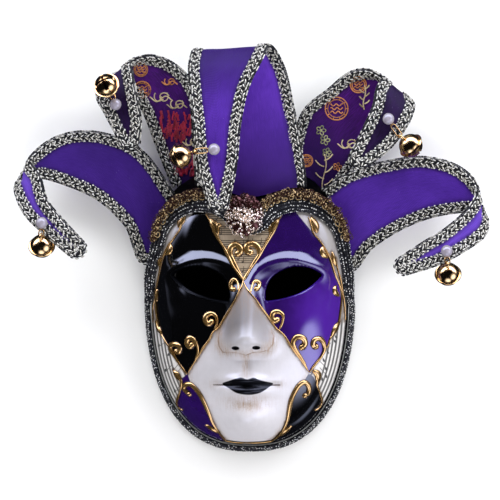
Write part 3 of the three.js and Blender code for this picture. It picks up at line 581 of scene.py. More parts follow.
def noseRise(x, y):
    down = np.clip((nose["topY"] - y) / (nose["topY"] - nose["tipY"]), 0, 1)
    under = smoothStep(y, nose["baseY"], nose["tipY"])
    width = nose["topWidth"] + (nose["tipWidth"] - nose["topWidth"]) * down
    ridgeHigh = nose["topRise"] + (nose["tipRise"] - nose["topRise"]) * down**1.2
    top = smoothStep(nose["topY"] - y, 0, nose["topY"] / 2)
    rise = ridgeHigh * top * under**0.6 * np.exp(-((np.abs(x) / width) ** 2.4))
    return np.where((y > nose["topY"]) | (y < nose["baseY"]), 0, rise)


def featureRise(x, y):
    rise = noseRise(x, y) + browRise(x, y)
    for fx, fy, wide, tall, high in features:
        for side in ([0] if fx == 0 else [fx, -fx]):
            rise = rise + high * mound(x, y, side, fy, wide, tall)
    parting = np.exp(-(((y - mouth["y"]) / mouth["thick"]) ** 2))
    parting = parting * smoothStep(np.abs(x), mouth["halfWidth"] + 3, mouth["halfWidth"] - 6)
    rise = rise - mouth["depth"] * parting
    rise = rise - 1.3 * mound(x, y, 0, -37, 3.2, 6)  # groove under the nose
    for nx, ny in nostrils:
        rise = rise - 3.6 * mound(x, y, nx, ny, 3.0, 1.7)
    return rise - 0.7 * np.exp(-((lineDistance2d(x, y, paint["noseLine"]) / 1.1) ** 2))


# angle round the widest line's middle; tilt 0 at the front, a quarter turn at the rim
def facePoint(angle, tilt):
    share = np.sin(tilt) ** (2 / shell["frontPower"])
    x = rimRadius(angle) * share * np.cos(angle)
    y = shell["widestY"] + rimRadius(angle) * share * np.sin(angle)
    dome = shell["depth"] * np.abs(np.cos(tilt)) ** (2 / shell["sidePower"])
    return np.stack([x, y, dome + featureRise(x, y) * (1 - share**8)], -1)


def faceNormal(angle, tilt):
    around = facePoint(angle + 0.006, tilt) - facePoint(angle - 0.006, tilt)
    down = (facePoint(angle, np.minimum(tilt + 0.006, np.pi / 2))
            - facePoint(angle, np.maximum(tilt - 0.006, 0.001)))
    return unit(np.cross(down, around))


def faceSeat(x, y, most=0.985):  # point and normal of the face under a point seen from the front
    x, y = np.asarray(x, float), np.asarray(y, float)
    angle = np.arctan2(y - shell["widestY"], x)
    share = np.minimum(np.hypot(x, y - shell["widestY"]) / rimRadius(angle), most)
    tilt = np.arcsin(share ** (shell["frontPower"] / 2))
    return facePoint(angle, tilt), faceNormal(angle, tilt)


def faceShare(x, y):
    return np.hypot(x, y - shell["widestY"]) / rimRadius(np.arctan2(y - shell["widestY"], x))


def eyeOutline(side):
    t = np.linspace(0, 1, 60)[:-1, None]
    bends = (("inner", "innerPull", "top"), ("top", "topPull", "outer"), ("outer", "lowerPull", "inner"))
    bends = [[np.array(eye[knot]) for knot in knots] for knots in bends]
    return np.vstack([(1 - t) ** 2 * a + 2 * t * (1 - t) * b + t**2 * c for a, b, c in bends]) * (side, 1)


def nearestOn(x, y, outline):
    ring = np.vstack([outline, outline[:1]])
    best, bx, by = np.full(x.shape, 1e9), x.copy(), y.copy()
    for a, b in zip(ring[:-1], ring[1:]):
        run = b - a
        t = np.clip(((x - a[0]) * run[0] + (y - a[1]) * run[1]) / (run @ run), 0, 1)
        px, py = a[0] + t * run[0], a[1] + t * run[1]
        d = np.hypot(x - px, y - py)
        closer = d < best
        best, bx, by = np.where(closer, d, best), np.where(closer, px, bx), np.where(closer, py, by)
    return bx, by


# Heart-shaped line of the trim over the brow
arch = {"shiftX": 1.3, "centreX": 38.6, "centreY": 58.4, "radius": 35.6, "fromDeg": 172.0, "toDeg": 34.0,
        "dipY": 76.0, "steps": 9}


def archPoints(outset, fromDeg, toDeg, dipY):  # left half of the trim's line, temple to middle
    turn = np.radians(np.linspace(fromDeg, toDeg, arch["steps"]))
    radius = arch["radius"] + outset
    half = np.column_stack([-arch["centreX"] + radius * np.cos(turn), arch["centreY"] + radius * np.sin(turn)])
    return np.vstack([half, [0, dipY]])


def trimLine():  # both halves, temple to temple
    half = archPoints(0, arch["fromDeg"], arch["toDeg"], arch["dipY"])
    return np.vstack([half, half[-2::-1] * (-1, 1)]) + (arch["shiftX"], 0)


# Gold relief: strokes piped onto the face, thin where they start and fat where they curl; widths in millimetres
relief = {"high": 1.5, "spacing": 0.8, "strokes": [
    ("line", 3.3, [(-34.1, 86.8), (-29.8, 79.4), (-27.3, 73.7), (-23.1, 65.5), (-18.9, 59), (-15.6, 52.5),
        (-11.6, 44.4), (-7.5, 38.7), (-3.4, 33)]),
    ("curl", 3.8, [(-4.3, 34.7), (-8.3, 42.8), (-11.5, 49.3), (-14, 54.2), (-13.3, 59.8), (-9.2, 61.9),
        (-5.9, 59), (-5.9, 55.8), (-8.3, 54.2)]),
    ("line", 2.1, [(-3.4, 33), (-4.1, 28.2), (-6.5, 22.6), (-10.6, 14.4), (-14.7, 7.9), (-18.9, 1.3),
        (-23.8, -6), (-27.9, -9.3), (-31.2, -15.8), (-36.2, -22.4), (-39.6, -28.2), (-43.8, -34.8),
        (-49, -43.2)]),
    ("curl", 2.8, [(-6.5, 23.4), (-7.1, 29.8), (-10.4, 33.8), (-13.3, 30.6), (-12.4, 25.7), (-9.9, 25.3)]),
    ("curl", 3.3, [(-27.1, -8.5), (-24.6, -1.9), (-25.5, 3.7), (-29.5, 5.8), (-33.6, 3.7), (-34, -0.3),
        (-31.2, -2.8), (-28.7, -0.3)]),
    ("curl", 3.3, [(-43, -33.2), (-40.4, -25.7), (-41.1, -20), (-44.4, -15.1), (-47.7, -14.3), (-49.5, -18.5),
        (-47, -21.7), (-44.9, -19.2)]),
    ("curl", 3.3, [(-49.9, -44.1), (-54.9, -37.6), (-59.9, -30.3), (-63.3, -24.6), (-63.2, -20.9),
        (-59.7, -19.5), (-55.5, -21.9), (-56.4, -26.1), (-59.4, -25.3)]),
    ("line", 2.2, [(-50.8, 88.5), (-53.2, 82), (-55.6, 74.6), (-60.6, 67.2), (-64.9, 61.5), (-69.2, 53.3),
        (-71.8, 45.1), (-73.6, 36.8), (-75.5, 28.5), (-76.5, 22.7), (-76.5, 16.1), (-76, 6.2), (-74.6, -2),
        (-72.2, -10.1), (-67.6, -18.2), (-63.3, -24.6)]),
    ("line", 1.7, [(-76.5, 18.6), (-78.4, 12.6), (-79.2, 5.5), (-79.3, -2.8)]),
    ("curl", 3.0, [(-2.2, -108.6), (-8.4, -107.6), (-15.9, -104.3), (-20.8, -98.4), (-25.2, -91.4),
        (-29.1, -84.6), (-32.1, -76.3), (-35.3, -68.7), (-38.4, -62.1), (-41.7, -57.2), (-46.7, -52.7),
        (-50.9, -52.9), (-52.7, -55.9), (-50.3, -59.1), (-47.8, -61.6)]),
    ("line", 2.6, [(-61.1, -42), (-57.6, -43.5), (-55.1, -48.4), (-54.9, -54.3), (-57.3, -62.1), (-59.5, -68.3),
        (-59.1, -72.8), (-54.5, -74.9)]),
    ("leaf", 3.6, [(-35.6, -86.6), (-31, -89.3), (-25.2, -93.3)]),
    ("line", 3.3, [(28.8, 86.8), (25.6, 82.7), (22.4, 75.3), (19.2, 69.6), (15.2, 62.3), (11.2, 55.8),
        (7.1, 49.3), (3, 42.8), (-1, 36.3), (-3.4, 32.2)]),
    ("curl", 3.8, [(1.4, 40.3), (5.5, 47.7), (9.6, 54.2), (8.7, 59.8), (3.8, 62.7), (-0.3, 60.7), (-0.2, 56.6),
        (3, 55.4)]),
    ("line", 2.1, [(-3.4, 32.2), (-0.8, 27.4), (2.5, 22.6), (6.6, 17.7), (10.5, 12), (14.5, 6.3), (18.5, 0.5),
        (23.3, -6), (29, -10.9), (33.8, -18.3), (37.9, -24.9), (42.7, -31.5), (46.7, -37.4), (50, -42.4)]),
    ("curl", 2.8, [(2.9, 22.6), (4, 28.2), (6.3, 32.2), (9.5, 30.6), (8.8, 26.6), (6.4, 25.4)]),
    ("curl", 3.3, [(25.8, -7.6), (28.6, -1.1), (29, 4.6), (24.9, 7.4), (20.9, 6.2), (20.1, 2.1), (22.5, -0.3),
        (24.9, 1.3)]),
    ("curl", 3.6, [(48.3, -39.1), (43.5, -29.9), (38.7, -22.4), (37.1, -17.5), (40.3, -13.4), (45.2, -14.3),
        (46.8, -19.2), (43.5, -22.5)]),
    ("curl", 3.3, [(50, -42.4), (54.9, -35.9), (59.8, -29.5), (62.2, -23.8), (61.4, -17.9), (58.2, -14.9),
        (54.1, -16.1), (53.3, -20.2), (56.5, -21.9)]),
    ("line", 2.2, [(49.1, 84.4), (51.6, 77), (53.3, 71.3), (57.3, 66.4), (61.4, 60.7), (66.3, 51.7),
        (68.8, 44.3), (71.2, 36.9), (74.5, 28.6), (76.1, 22.8), (76.1, 16.2), (75.3, 7.9), (73.7, -1.9),
        (70.4, -10), (67.1, -14.8), (64.7, -21.4), (62.2, -24.6)]),
    ("line", 1.7, [(71.2, 50.8), (72.8, 42.6), (75.3, 32.7), (77, 22.7), (78.4, 11.9), (79.3, -0.7)]),
    ("curl", 3.2, [(-3.6, -108.6), (2.7, -107.8), (10, -105.6), (18.1, -100.4), (24.9, -94.9), (29.2, -88.3),
        (31.8, -82.3), (33.5, -73.8), (35.2, -65.4), (38.5, -57.9), (41.8, -53), (45.9, -50.6), (49.5, -54.1),
        (49.1, -59.9), (45.8, -62.3)]),
    ("line", 2.6, [(52.4, -41.7), (55.6, -45.9), (56.4, -53.5), (58.8, -61.3), (60, -68.4), (57.1, -73.4),
        (54.2, -74.9)]),
    ("leaf", 3.6, [(35.2, -87.4), (30.7, -91.1), (25.6, -96.1)]),
    ("leaf", 5.4, [(-52, 89), (-54.4, 83), (-57, 75.5)]), ("leaf", 5.4, [(51.4, 84.5), (54.6, 78), (56.4, 71)]),
    ("leaf", 4.2, [(-63.2, 62.2), (-64.2, 57.2), (-68.2, 53.4)]), ("leaf", 4.2, [(61.2, 60.5), (61, 55.4),
        (65, 50.8)]),
    ("leaf", 3.8, [(-75.2, 25), (-76, 20.2), (-75.4, 15)]),
    ("leaf", 3.8, [(71.8, 28.5), (70.8, 23.7), (74.6, 19.4)]),
    ("leaf", 3.4, [(-72, 54), (-73.4, 49.2), (-72.6, 43)]),
    ("leaf", 3.4, [(68.6, 56), (69.8, 50.8), (71.6, 44)]),
    ("leaf", 4.0, [(-77, -1), (-74.6, -6.9), (-71, -12)]), ("leaf", 4.4, [(75, -1), (71.6, -6.7), (67.6, -14)]),
    ("leaf", 5.0, [(-31, 83), (-26.6, 77), (-24.4, 69)]),
    ("leaf", 3.2, [(-26.6, 74.6), (-23.4, 77.6), (-20.8, 77)]),
    ("leaf", 5.0, [(25.6, 83), (20.6, 76.6), (19.2, 69.4)]),
    ("leaf", 3.2, [(20, 74.6), (16.4, 77.8), (13.8, 77)]),
    ("leaf", 4.2, [(-61.4, -41.2), (-58.6, -45.6), (-55.4, -50)]), ("leaf", 4.6, [(53.4, -40.8), (57, -44.6),
        (56.8, -52)]),
]}


# where each paint goes: mostly millimetres into or off a line
def paintFace(face, x, y, angle, share, edgeOff):
    names = ("upperLeft", "upperRight", "lowerLeft", "lowerRight", "centre", "browPaper")
    field = {name: insideBy(x, y, paint[name]) for name in names}
    centre = field["centre"]
    lips = insideBy(x, y, flatCurve(paint["lips"], np.linspace(0, 1, 120)[:-1], True))
    behindTrim = insideBy(x, y, np.vstack([trimLine(), [(95, 55), (95, 140), (-95, 140), (-95, 55)]]))
    toRim = (1 - share) * rimRadius(angle)
    noseLineOff = lineDistance2d(x, y, paint["noseLine"])
    # brown wash with painted shade in the creases: over the upper face, along the nose line, at the white
    # field's edge and in the listed spots
    brownWashAndShade = 0.03 + 0.2 * smoothStep(y, -14, 18)
    brownWashAndShade = brownWashAndShade + 0.5 * np.exp(-((noseLineOff / 3) ** 2)) + 0.45 * np.exp(-((centre / 2.6) ** 2))
    for most, sx, sy, wide, tall in brownWashAndShadeSpots:
        brownWashAndShade = brownWashAndShade + most * mound(np.abs(x) if sx > 0 else x, y, sx, sy, wide, tall)
    # painted shade: grey on the nose bridge, more on its left side and on both flanks, fading out towards the
    # tip
    paintedGreyShade = (smoothStep(y, -26, 6) * (0.72 + 0.28 * smoothStep(x, 9, -5))
                + 0.3 * mound(np.abs(x), y, 14, -14, 6, 8))
    # and a lighter painted shade over the face above the chin, more on its left side
    paintedShadeSum = paintedGreyShade + (0.13 + 0.1 * smoothStep(x, 5, -28)) * smoothStep(y, -70, -42)
    shelter = np.maximum.reduce([  # where the lacquer is matt
        0.9 * paintedGreyShade * (centre > -0.5), smoothStep(behindTrim, 0, 1.5), 0.75 * smoothStep(lips, -0.3, 0.3),
        mound(x, y, -12, 13, 6, 9) * (field["upperLeft"] > -0.5), np.exp(-((edgeOff / 2.5) ** 4)) * (x < 0)])
    values = {
        # black paint on the lozenges and along the rim; behind the trim the black is painted shade for the gap
        # under the horns
        "blackField": np.maximum.reduce([field["upperLeft"], field["lowerRight"], behindTrim, 1.7 - toRim]),
        "purpleField": np.maximum(field["upperRight"], field["lowerLeft"]),
        # painted light and shade on the purple: darker over the brow, lighter towards the right cheek, even on
        # the left
        "purpleLightShade": np.where(x > 0, smoothStep(y, 62, 0) * (0.14 + 0.74 * smoothStep(x, 24, 62)) + 0.18,
                               0.32),
        "bareField": centre, "browPaper": field["browPaper"], "lipField": lips,
        "mouthOff": np.hypot(y - mouth["y"] + 0.3, np.clip(np.abs(x + 0.5) - mouth["halfWidth"], 0, None) * 2),
        "nostrilField": np.maximum(*[1 - np.hypot((x - nx) / 3.3, (y - ny) / 1.7) for nx, ny in nostrils]),
        "noseLineOff": noseLineOff, "eyeOff": edgeOff, "brownWashAndShade": brownWashAndShade,
        "paintedGreyShade": np.clip(paintedShadeSum, 0, 1) * smoothStep(centre, -2, 0),
        "shelter": np.clip(shelter, 0, 1),
        "staffAcross": toRim, "staffAlong": np.where(np.sin(angle) < 0.99, angle * 88, 0),
        "sidePrint": smoothStep(y, 10, -6),
        "goldOff": np.minimum.reduce([lineDistance2d(x, y, knots) for _, _, knots in relief["strokes"]]),
    }
    for name, spread in values.items():
        setValues(face, name, spread)


def openEyes(face):  # cuts along the points that lie on the eyes' outlines, and welds the seam and the middle
    outlines = [eyeOutline(1), eyeOutline(-1)]
    body = bmesh.new()
    body.from_mesh(face.data)
    layer = body.verts.layers.float["holeState"]
    for quad in list(body.faces):
        values = [vert[layer] for vert in quad.verts]
        if min(values) < 0 < max(values) and values.count(0) == 2 and len(values) == 4:
            first, second = (vert for vert in quad.verts if vert[layer] == 0)
            if first not in [edge.other_vert(second) for edge in second.link_edges]:
                bmesh.utils.face_split(quad, first, second)
    doomed = []
    for quad in body.faces:
        values = [vert[layer] for vert in quad.verts]
        if min(values) < 0:
            doomed.append(quad)
        elif max(values) == 0:
            middle = (np.array(quad.calc_center_median()) - maskShift / 1000) * 1000
            if max(insideBy(middle[:1], middle[1:2], outline)[0] for outline in outlines) > 0:
                doomed.append(quad)
    bmesh.ops.delete(body, geom=doomed, context="FACES")
    bmesh.ops.remove_doubles(body, verts=body.verts, dist=1e-6)
    bmesh.ops.recalc_face_normals(body, faces=body.faces)
    if sum(f.normal.z for f in body.faces) < 0:
        bmesh.ops.reverse_faces(body, faces=body.faces)
    body.to_mesh(face.data)
    body.free()


def makeFace(materials):
    columns, rings = shell["columns"], shell["rings"]
    face, flat = newGrid("face", columns, rings)
    turn = flat[:, 0] * 2 * np.pi + np.pi / 2
    angle = turn - 0.45 * np.cos(turn)  # columns stand closer towards the chin
    profile = np.linspace(0, 1, 2000)
    drop = shell["depth"] * (1 - profile**shell["frontPower"]) ** (1 / shell["sidePower"])
    run = np.concatenate([[0], np.cumsum(np.hypot(np.diff(profile * 100), np.diff(drop)))])
    crowded = run + 55 * smoothStep(profile, 0.3, 0.74)  # rings stand closer from the eyes to the lips
    share = np.interp(flat[:, 1] * crowded[-1], crowded, profile)
    tilt = np.arcsin(np.clip(share, 0, 1) ** (shell["frontPower"] / 2))
    points = facePoint(angle, tilt)
    x, y = points[:, 0].copy(), points[:, 1].copy()

    # the eye holes' edges: the closer end of each crossing edge goes onto the outline
    grid = np.arange(len(x)).reshape(rings + 1, columns + 1)
    pairs = np.vstack([np.column_stack([grid[:, :-1].ravel(), grid[:, 1:].ravel()]),
                       np.column_stack([grid[:-1].ravel(), grid[1:].ravel()])])
    edgeOff = np.full(x.shape, 99.0)
    state = np.ones(x.shape)
    for side in (1, -1):
        outline = eyeOutline(side)
        off = -insideBy(x, y, outline)
        cross = pairs[(off[pairs[:, 0]] > 0) != (off[pairs[:, 1]] > 0)]
        snap = np.unique(np.where(np.abs(off[cross[:, 0]]) < np.abs(off[cross[:, 1]]), cross[:, 0],
                                  cross[:, 1]))
        x[snap], y[snap] = nearestOn(x[snap], y[snap], outline)
        off[snap] = 0
        state = np.where(off < 0, -1, np.where(off == 0, 0, state))
        edgeOff = np.minimum(edgeOff, np.abs(off))
    moved = np.abs(x - points[:, 0]) + np.abs(y - points[:, 1]) > 0
    points[moved] = faceSeat(x[moved], y[moved])[0]
    reach = np.clip(eye["edgeRound"] - edgeOff, 0, None)
    sink = eye["edgeRound"] - np.sqrt(eye["edgeRound"] ** 2 - reach**2)
    points -= faceNormal(angle, tilt) * np.minimum(sink, 0.9)[:, None]
    points[flat[:, 1] > 0.9999, 2] = 0
    setPoints(face, points)
    setValues(face, "holeState", state)
    paintFace(face, x, y, angle, share, edgeOff)
    makeActive(face)
    openEyes(face)
    dress(face, materials)
    giveWall(face, shell["wall"], -1, 1)
    bpy.ops.object.shade_smooth_by_angle(angle=math.radians(50))
    return face


def lacquerFinish():
    material, tree, shader = newFinish("lacquer", Coat_Roughness=0.07, Coat_IOR=1.55)
    place = objectPlace(tree)
    value = lambda name: attribute(tree, name)
    ramp = lambda *terms: between(tree, *terms)
    mul = lambda first, second: times(tree, first, second)
    most = lambda first, second: maths(tree, "MAXIMUM", first, second)
    field = lambda name, soft=0.35: ramp(value(name), -soft, soft)
    over = lambda colour, share, to: blend(tree, share, colour, to)  # paint over a colour
    grain = noise(tree, place, 160.0, 5.0, 0.6)
    streaks = noise(tree, scaled(tree, place, (900, 90, 90)), 1.0, 4.0, 0.65)
    # paper with printed staves on the sides, tan over the brow
    staves = {"Along": value("staffAlong"), "Across": mul(value("staffAcross"), 0.54), "Bold": 0.62}
    sideInk = mul(useGroup(tree, staffGroup, staves)["Ink"], value("sidePrint"))
    browAlong, browAcross = (mul(axesOf(tree, place)[axis], 1000.0) for axis in "XY")
    browInk = useGroup(tree, staffGroup, {"Along": browAlong, "Across": mul(browAcross, 1.1)})["Ink"]
    pale = over((0.6, 0.58, 0.57, 1), grain, (0.84, 0.82, 0.81, 1))
    sidePaper = over((0.34, 0.32, 0.32, 1), value("sidePrint"), pale)
    sidePaper = over(sidePaper, mul(sideInk, 0.93), (0.008, 0.008, 0.009, 1))
    browPaper = over((0.2, 0.14, 0.085, 1), streaks, (0.47, 0.39, 0.3, 1))
    browPaper = over(browPaper, browInk, (0.02, 0.014, 0.01, 1))
    printed = over(sidePaper, field("browPaper", 0.4), browPaper)
    # pearly white with a brown wash and painted shade in the hollows and creases
    brownWashAndShade = value("brownWashAndShade")
    dustAndShade = mul(brownWashAndShade, ramp(noise(tree, place, 900.0, 2.0, 0.6), 0.52, 0.66))
    rubbedAndShade = mul(brownWashAndShade, ramp(streaks, 0.36, 0.68))
    crease = mul(ramp(value("noseLineOff"), 0.75, 0.25), ramp(grain, 0.25, 0.6))
    halo = mul(ramp(value("goldOff"), 2.9, 1.0), ramp(grain, 0.3, 0.62))
    white = over((0.6, 0.585, 0.635, 1), grain, (0.72, 0.705, 0.76, 1))
    # painted shade: grey over the nose bridge and, lighter, over the face above the chin
    white = over(white, mul(value("paintedGreyShade"), 0.85), (0.1, 0.094, 0.1, 1))
    white = over(white, mul(brownWashAndShade, 0.42), (0.4, 0.34, 0.31, 1))
    white = over(white, mul(dustAndShade, 0.5), (0.3, 0.17, 0.07, 1))
    white = over(white, mul(rubbedAndShade, 0.8), (0.34, 0.2, 0.09, 1))
    white = over(white, mul(crease, 0.65), (0.2, 0.11, 0.05, 1))
    white = over(white, mul(ramp(value("mouthOff"), 0.9, 0.35), 0.85), (0.06, 0.035, 0.02, 1))
    white = over(white, mul(halo, 0.75), (0.16, 0.085, 0.035, 1))
    white = over(white, field("nostrilField", 0.12), (0.006, 0.005, 0.005, 1))
    white = over(white, field("lipField", 0.3), (0.004, 0.004, 0.005, 1))
    printed = over(printed, mul(halo, 0.8), (0.1, 0.05, 0.02, 1))
    colour = over(printed, field("bareField", 0.5), white)
    # painted light and shade across the purple, with grain
    purpleShadeAndGrain = plus(tree, value("purpleLightShade"), mul(maths(tree, "SUBTRACT", grain, 0.5), 0.3))
    purple = over((0.012, 0.0024, 0.053, 1), ramp(purpleShadeAndGrain, 0.0, 1.1), (0.062, 0.013, 0.265, 1))
    colour = over(colour, field("purpleField"), purple)
    colour = over(colour, field("blackField"), (0.0015, 0.0015, 0.0018, 1))
    # varnish: full on the paint, thinner on the white, none in sheltered places
    painted = most(most(field("purpleField"), field("blackField")), field("lipField", 0.3))
    dull = most(field("nostrilField", 0.12), ramp(value("eyeOff"), 1.5, 0.7))
    matt = most(dull, value("shelter"))
    varnish = mul(ramp(painted, 0.0, 1.0, 0.45, 1.0), maths(tree, "SUBTRACT", 1.0, matt))
    black = most(dull, mul(value("shelter"), painted))  # a black metal mirrors nothing
    rough = plus(tree, ramp(painted, 0.0, 1.0, 0.32, 0.04), mul(grain, 0.09))
    wire(tree, shader, Base_Color=colour, Coat_Weight=varnish, Metallic=black,
         Roughness=most(rough, mul(matt, 0.7)))
    bump(tree, shader, noise(tree, place, 55.0, 2.0, 0.4), 0.06, 0.004)
    return material


def liningFinish():  # black felt inside the face
    material, tree, shader = newFinish("feltLining", Roughness=0.9, Specular_IOR_Level=0.15)
    fibres = noise(tree, scaled(tree, objectPlace(tree), (700, 260, 400)), 1.0, 6.0, 0.7)
    wire(tree, shader, Base_Color=blend(tree, fibres, (0.006, 0.006, 0.006, 1), (0.02, 0.019, 0.019, 1)))
    bump(tree, shader, fibres, 0.5, 0.0006)
    return material


face = settle(makeFace([lacquerFinish(), liningFinish()]), "lacquer", "face_shell")
print("face made", len(face.data.polygons))


def reliefStroke(kind, width, knots):
    line = smoothCurve([(*knot, 0) for knot in knots])(np.linspace(0, 1, 40 * len(knots)))
    _, line = evenly(line, relief["spacing"])
    seats, normals = faceSeat(line[:, 0], line[:, 1], 0.975)
    share = np.linspace(0, 1, len(line))
    if kind == "curl":  # a thin stem that swells into a fat curl
        wide = (1.45 * width * (0.46 + 0.54 * smoothStep(share, 0.25, 0.68))
                * (0.4 + 0.6 * smoothStep(share, 0, 0.1)))
        wide *= 0.55 + 0.45 * smoothStep(1 - share, 0, 0.05)
    elif kind == "leaf":
        wide = 1.5 * width * (0.12 + 0.88 * np.sin(np.pi * share) ** 0.8)
    else:
        taper = smoothStep(share, 0, 0.12) * smoothStep(1 - share, 0, 0.05)
        wide = width * (0.85 + 0.2 * np.sin(share * 17 + width)) * (0.35 + 0.65 * taper)
    high = relief["high"] * (0.45 + 0.55 * wide / width) * (1.2 if kind == "curl" else 1.0)
    points, faces, uv = sweep(seats, normals, wide / 2, high, 10)
    crest = np.einsum("ijk,ik->ij", points.reshape(len(line), 10, 3) - seats[:, None], normals)
    tone = np.clip((crest / np.maximum(high, 0.2)[:, None]).ravel() * 0.95, 0, 1)
    if kind == "leaf":  # brown in its middle
        tone = np.where(tone > 0.85, 0.3, np.clip(tone * 1.5, 0, 0.9))
    parts = [(points, faces, uv, 0, tone)]
    if kind == "curl":  # a brown pad under the curl and a bead at its end
        for last, size, lift, tone in ((6, 0.95, 0.7, 0.0), (3, 0.8, 2.1, 0.75)):
            spot, radius = line[-last:].mean(axis=0), width * size
            seat, normal = faceSeat(spot[:1], spot[1:2])
            side = unit(np.cross(normal, [[0, 1.0, 0]]))
            axes = side * radius, np.cross(normal, side) * radius, normal * lift
            parts.append(strew(beadPart(1.0, 10), seat, *axes, 0, tone))
    return parts


strokes = [part for stroke in relief["strokes"] for part in reliefStroke(*stroke)]
goldRelief = settle(newPiece("gold_relief_lines", strokes, [goldFinish]), "gold_paint", "gold_relief")
print("relief made", len(goldRelief.data.polygons))

# Dark braid: along the rim, then over both arches of the brow
rimBraid = {"width": 7.2, "archWidth": 12.4, "high": 4.0, "rimTilt": 87.6, "templeTilt": 14.0, "gap": 0.35,
            "rows": 6, "pitch": 2.05, "slant": 34, "stitch": (2.9, 1.9, 1.6, 6), "glint": (1.3, 0.95, 0.9)}


def rimBraidLine():
    archSeat, archUp = faceSeat(*trimLine().T)
    angle = np.radians(np.linspace(4, -184, 40))
    temple = smoothStep(np.sin(angle), -0.32, -0.02)
    tilt = np.radians(rimBraid["rimTilt"] - rimBraid["templeTilt"] * temple)
    seat = np.vstack([archSeat, facePoint(angle, tilt)])
    up = np.vstack([archUp, faceNormal(angle, tilt)])
    overBrow = np.maximum(smoothStep(archSeat[:, 2], rimBraid["width"], shell["depth"] / 2), 0.8)
    onArch = np.append(overBrow, 0.8 * temple)
    upright = np.append(np.ones(len(archSeat)), np.maximum(temple, 0.6))
    up = unit(up + np.array([0, 0, 0.75]) * upright[:, None])
    lift = 0.7 * rimBraid["high"] + rimBraid["gap"]
    share = np.linspace(0, 1, 3001)
    points = smoothCurve(seat + up * lift, True)(share)
    ups = unit(smoothCurve(up, True)(share))
    wide = smoothCurve(np.column_stack([onArch, 0 * onArch, 0 * onArch]), True)(share)[:, :1]
    return points, ups, np.clip(wide, 0, 1)


def makeRimBraid():
    rng = np.random.default_rng(11)
    points, ups, onArch = rimBraidLine()
    places, line, ups, onArch = evenly(points, 0.9, ups, onArch)
    ups = unit(ups)
    wide = rimBraid["width"] + (rimBraid["archWidth"] - rimBraid["width"]) * onArch[:, 0]
    rise = rimBraid["high"] / 2 * 0.72
    parts = [(*sweep(line[:-1], ups[:-1], wide[:-1] / 2 * 0.94, rise, 10, True, places[:-1]), 0, 0.2)]
    ahead = alongOf(line, True)
    sides = unit(np.cross(ups, ahead))
    stitch, glint = grainPart(*rimBraid["stitch"]), grainPart(*rimBraid["glint"])
    spots = np.arange(0, places[-1], rimBraid["pitch"])
    for row in range(rimBraid["rows"]):
        lift = math.radians(16 + (180 - 32) * row / (rimBraid["rows"] - 1))
        s = (spots + rng.normal(0, 0.08, len(spots)) + (row % 2) * rimBraid["pitch"] / 2) % places[-1]
        out, side, forth = (unit(pickAt(places, rows, s)) for rows in (ups, sides, ahead))
        half = np.interp(s, places, wide) / 2 - 0.5
        spot = (pickAt(places, line, s) + side * (half * math.cos(lift))[:, None]
                + out * (rise * math.sin(lift) ** 0.6))
        face = unit(side * math.cos(lift) * 0.75 + out * math.sin(lift))
        slant = rimBraid["slant"] if row % 2 else -rimBraid["slant"]
        axes = level, way, _ = slanted(forth, face, slant + rng.normal(0, 5, len(s)))
        parts.append(strew(stitch, spot, *axes, 0, rng.uniform(-0.2, 0.5, len(s))))
        # white grains on the stitches' tops: glints of metal thread, and painted highlights of the glossy black
        # thread
        seen = rng.uniform(0, 1, len(s)) < 0.9
        top = (spot + face * 0.8 + level * rng.normal(0, 0.22, (len(s), 1))
               + way * rng.normal(0, 0.2, (len(s), 1)))
        tones = rng.choice([-0.5, -0.1, 0.5, 1.0], seen.sum())
        parts.append(strew(glint, top[seen], *(axis[seen] for axis in axes), 1, tones))
    return newPiece("rim_braid_stitches", parts, [blackThread, glintThread])


rimBraidPiece = settle(makeRimBraid(), "dark_braid", "rim_braid")
print("rim braid made", len(rimBraidPiece.data.polygons))

# Gold lace: a curly frill in front of the horns, outside the dark braid
lace = {"outset": 9.4, "endOutset": 6.4, "lift": 3.6, "endLift": 8.0, "fromDeg": 172.0, "toDeg": 42.0,
        "dipY": 90.0, "tuft": 4.6, "curls": 8, "grains": 10, "grain": (1.35, 0.85, 0.8), "loops": [
            # off the line, pitch, radius, half wire, scatter, tone, stretch, wave
            (-3.4, 6.4, 2.1, 0.3, 0.15, 0.9, 0.7, 0.0), (2.6, 2.6, 1.1, 0.34, 0.4, -0.25, 1.2, 1.0),
            (-0.4, 2.6, 1.2, 0.36, 0.5, -0.5, 1.0, 0.0)]}


def laceLine():
    rows = ((lace["outset"], lace["dipY"]), (lace["endOutset"], lace["dipY"]), (0, arch["dipY"]))
    full, ends, feet = (archPoints(outset, lace["fromDeg"], lace["toDeg"], dip) for outset, dip in rows)
    rank = np.arange(len(full))
    opened = smoothStep(rank, 0, arch["steps"] / 2)[:, None]
    flat = ends + (full - ends) * opened
    lift = lace["endLift"] + (lace["lift"] - lace["endLift"]) * rank / (len(full) - 1)
    high = faceSeat(feet[:, 0], feet[:, 1])[0][:, 2] + lift
    left = np.column_stack([flat, high])
    return np.vstack([left, left[-2::-1] * (-1, 1, 1)]) + (arch["shiftX"], 0, 0)


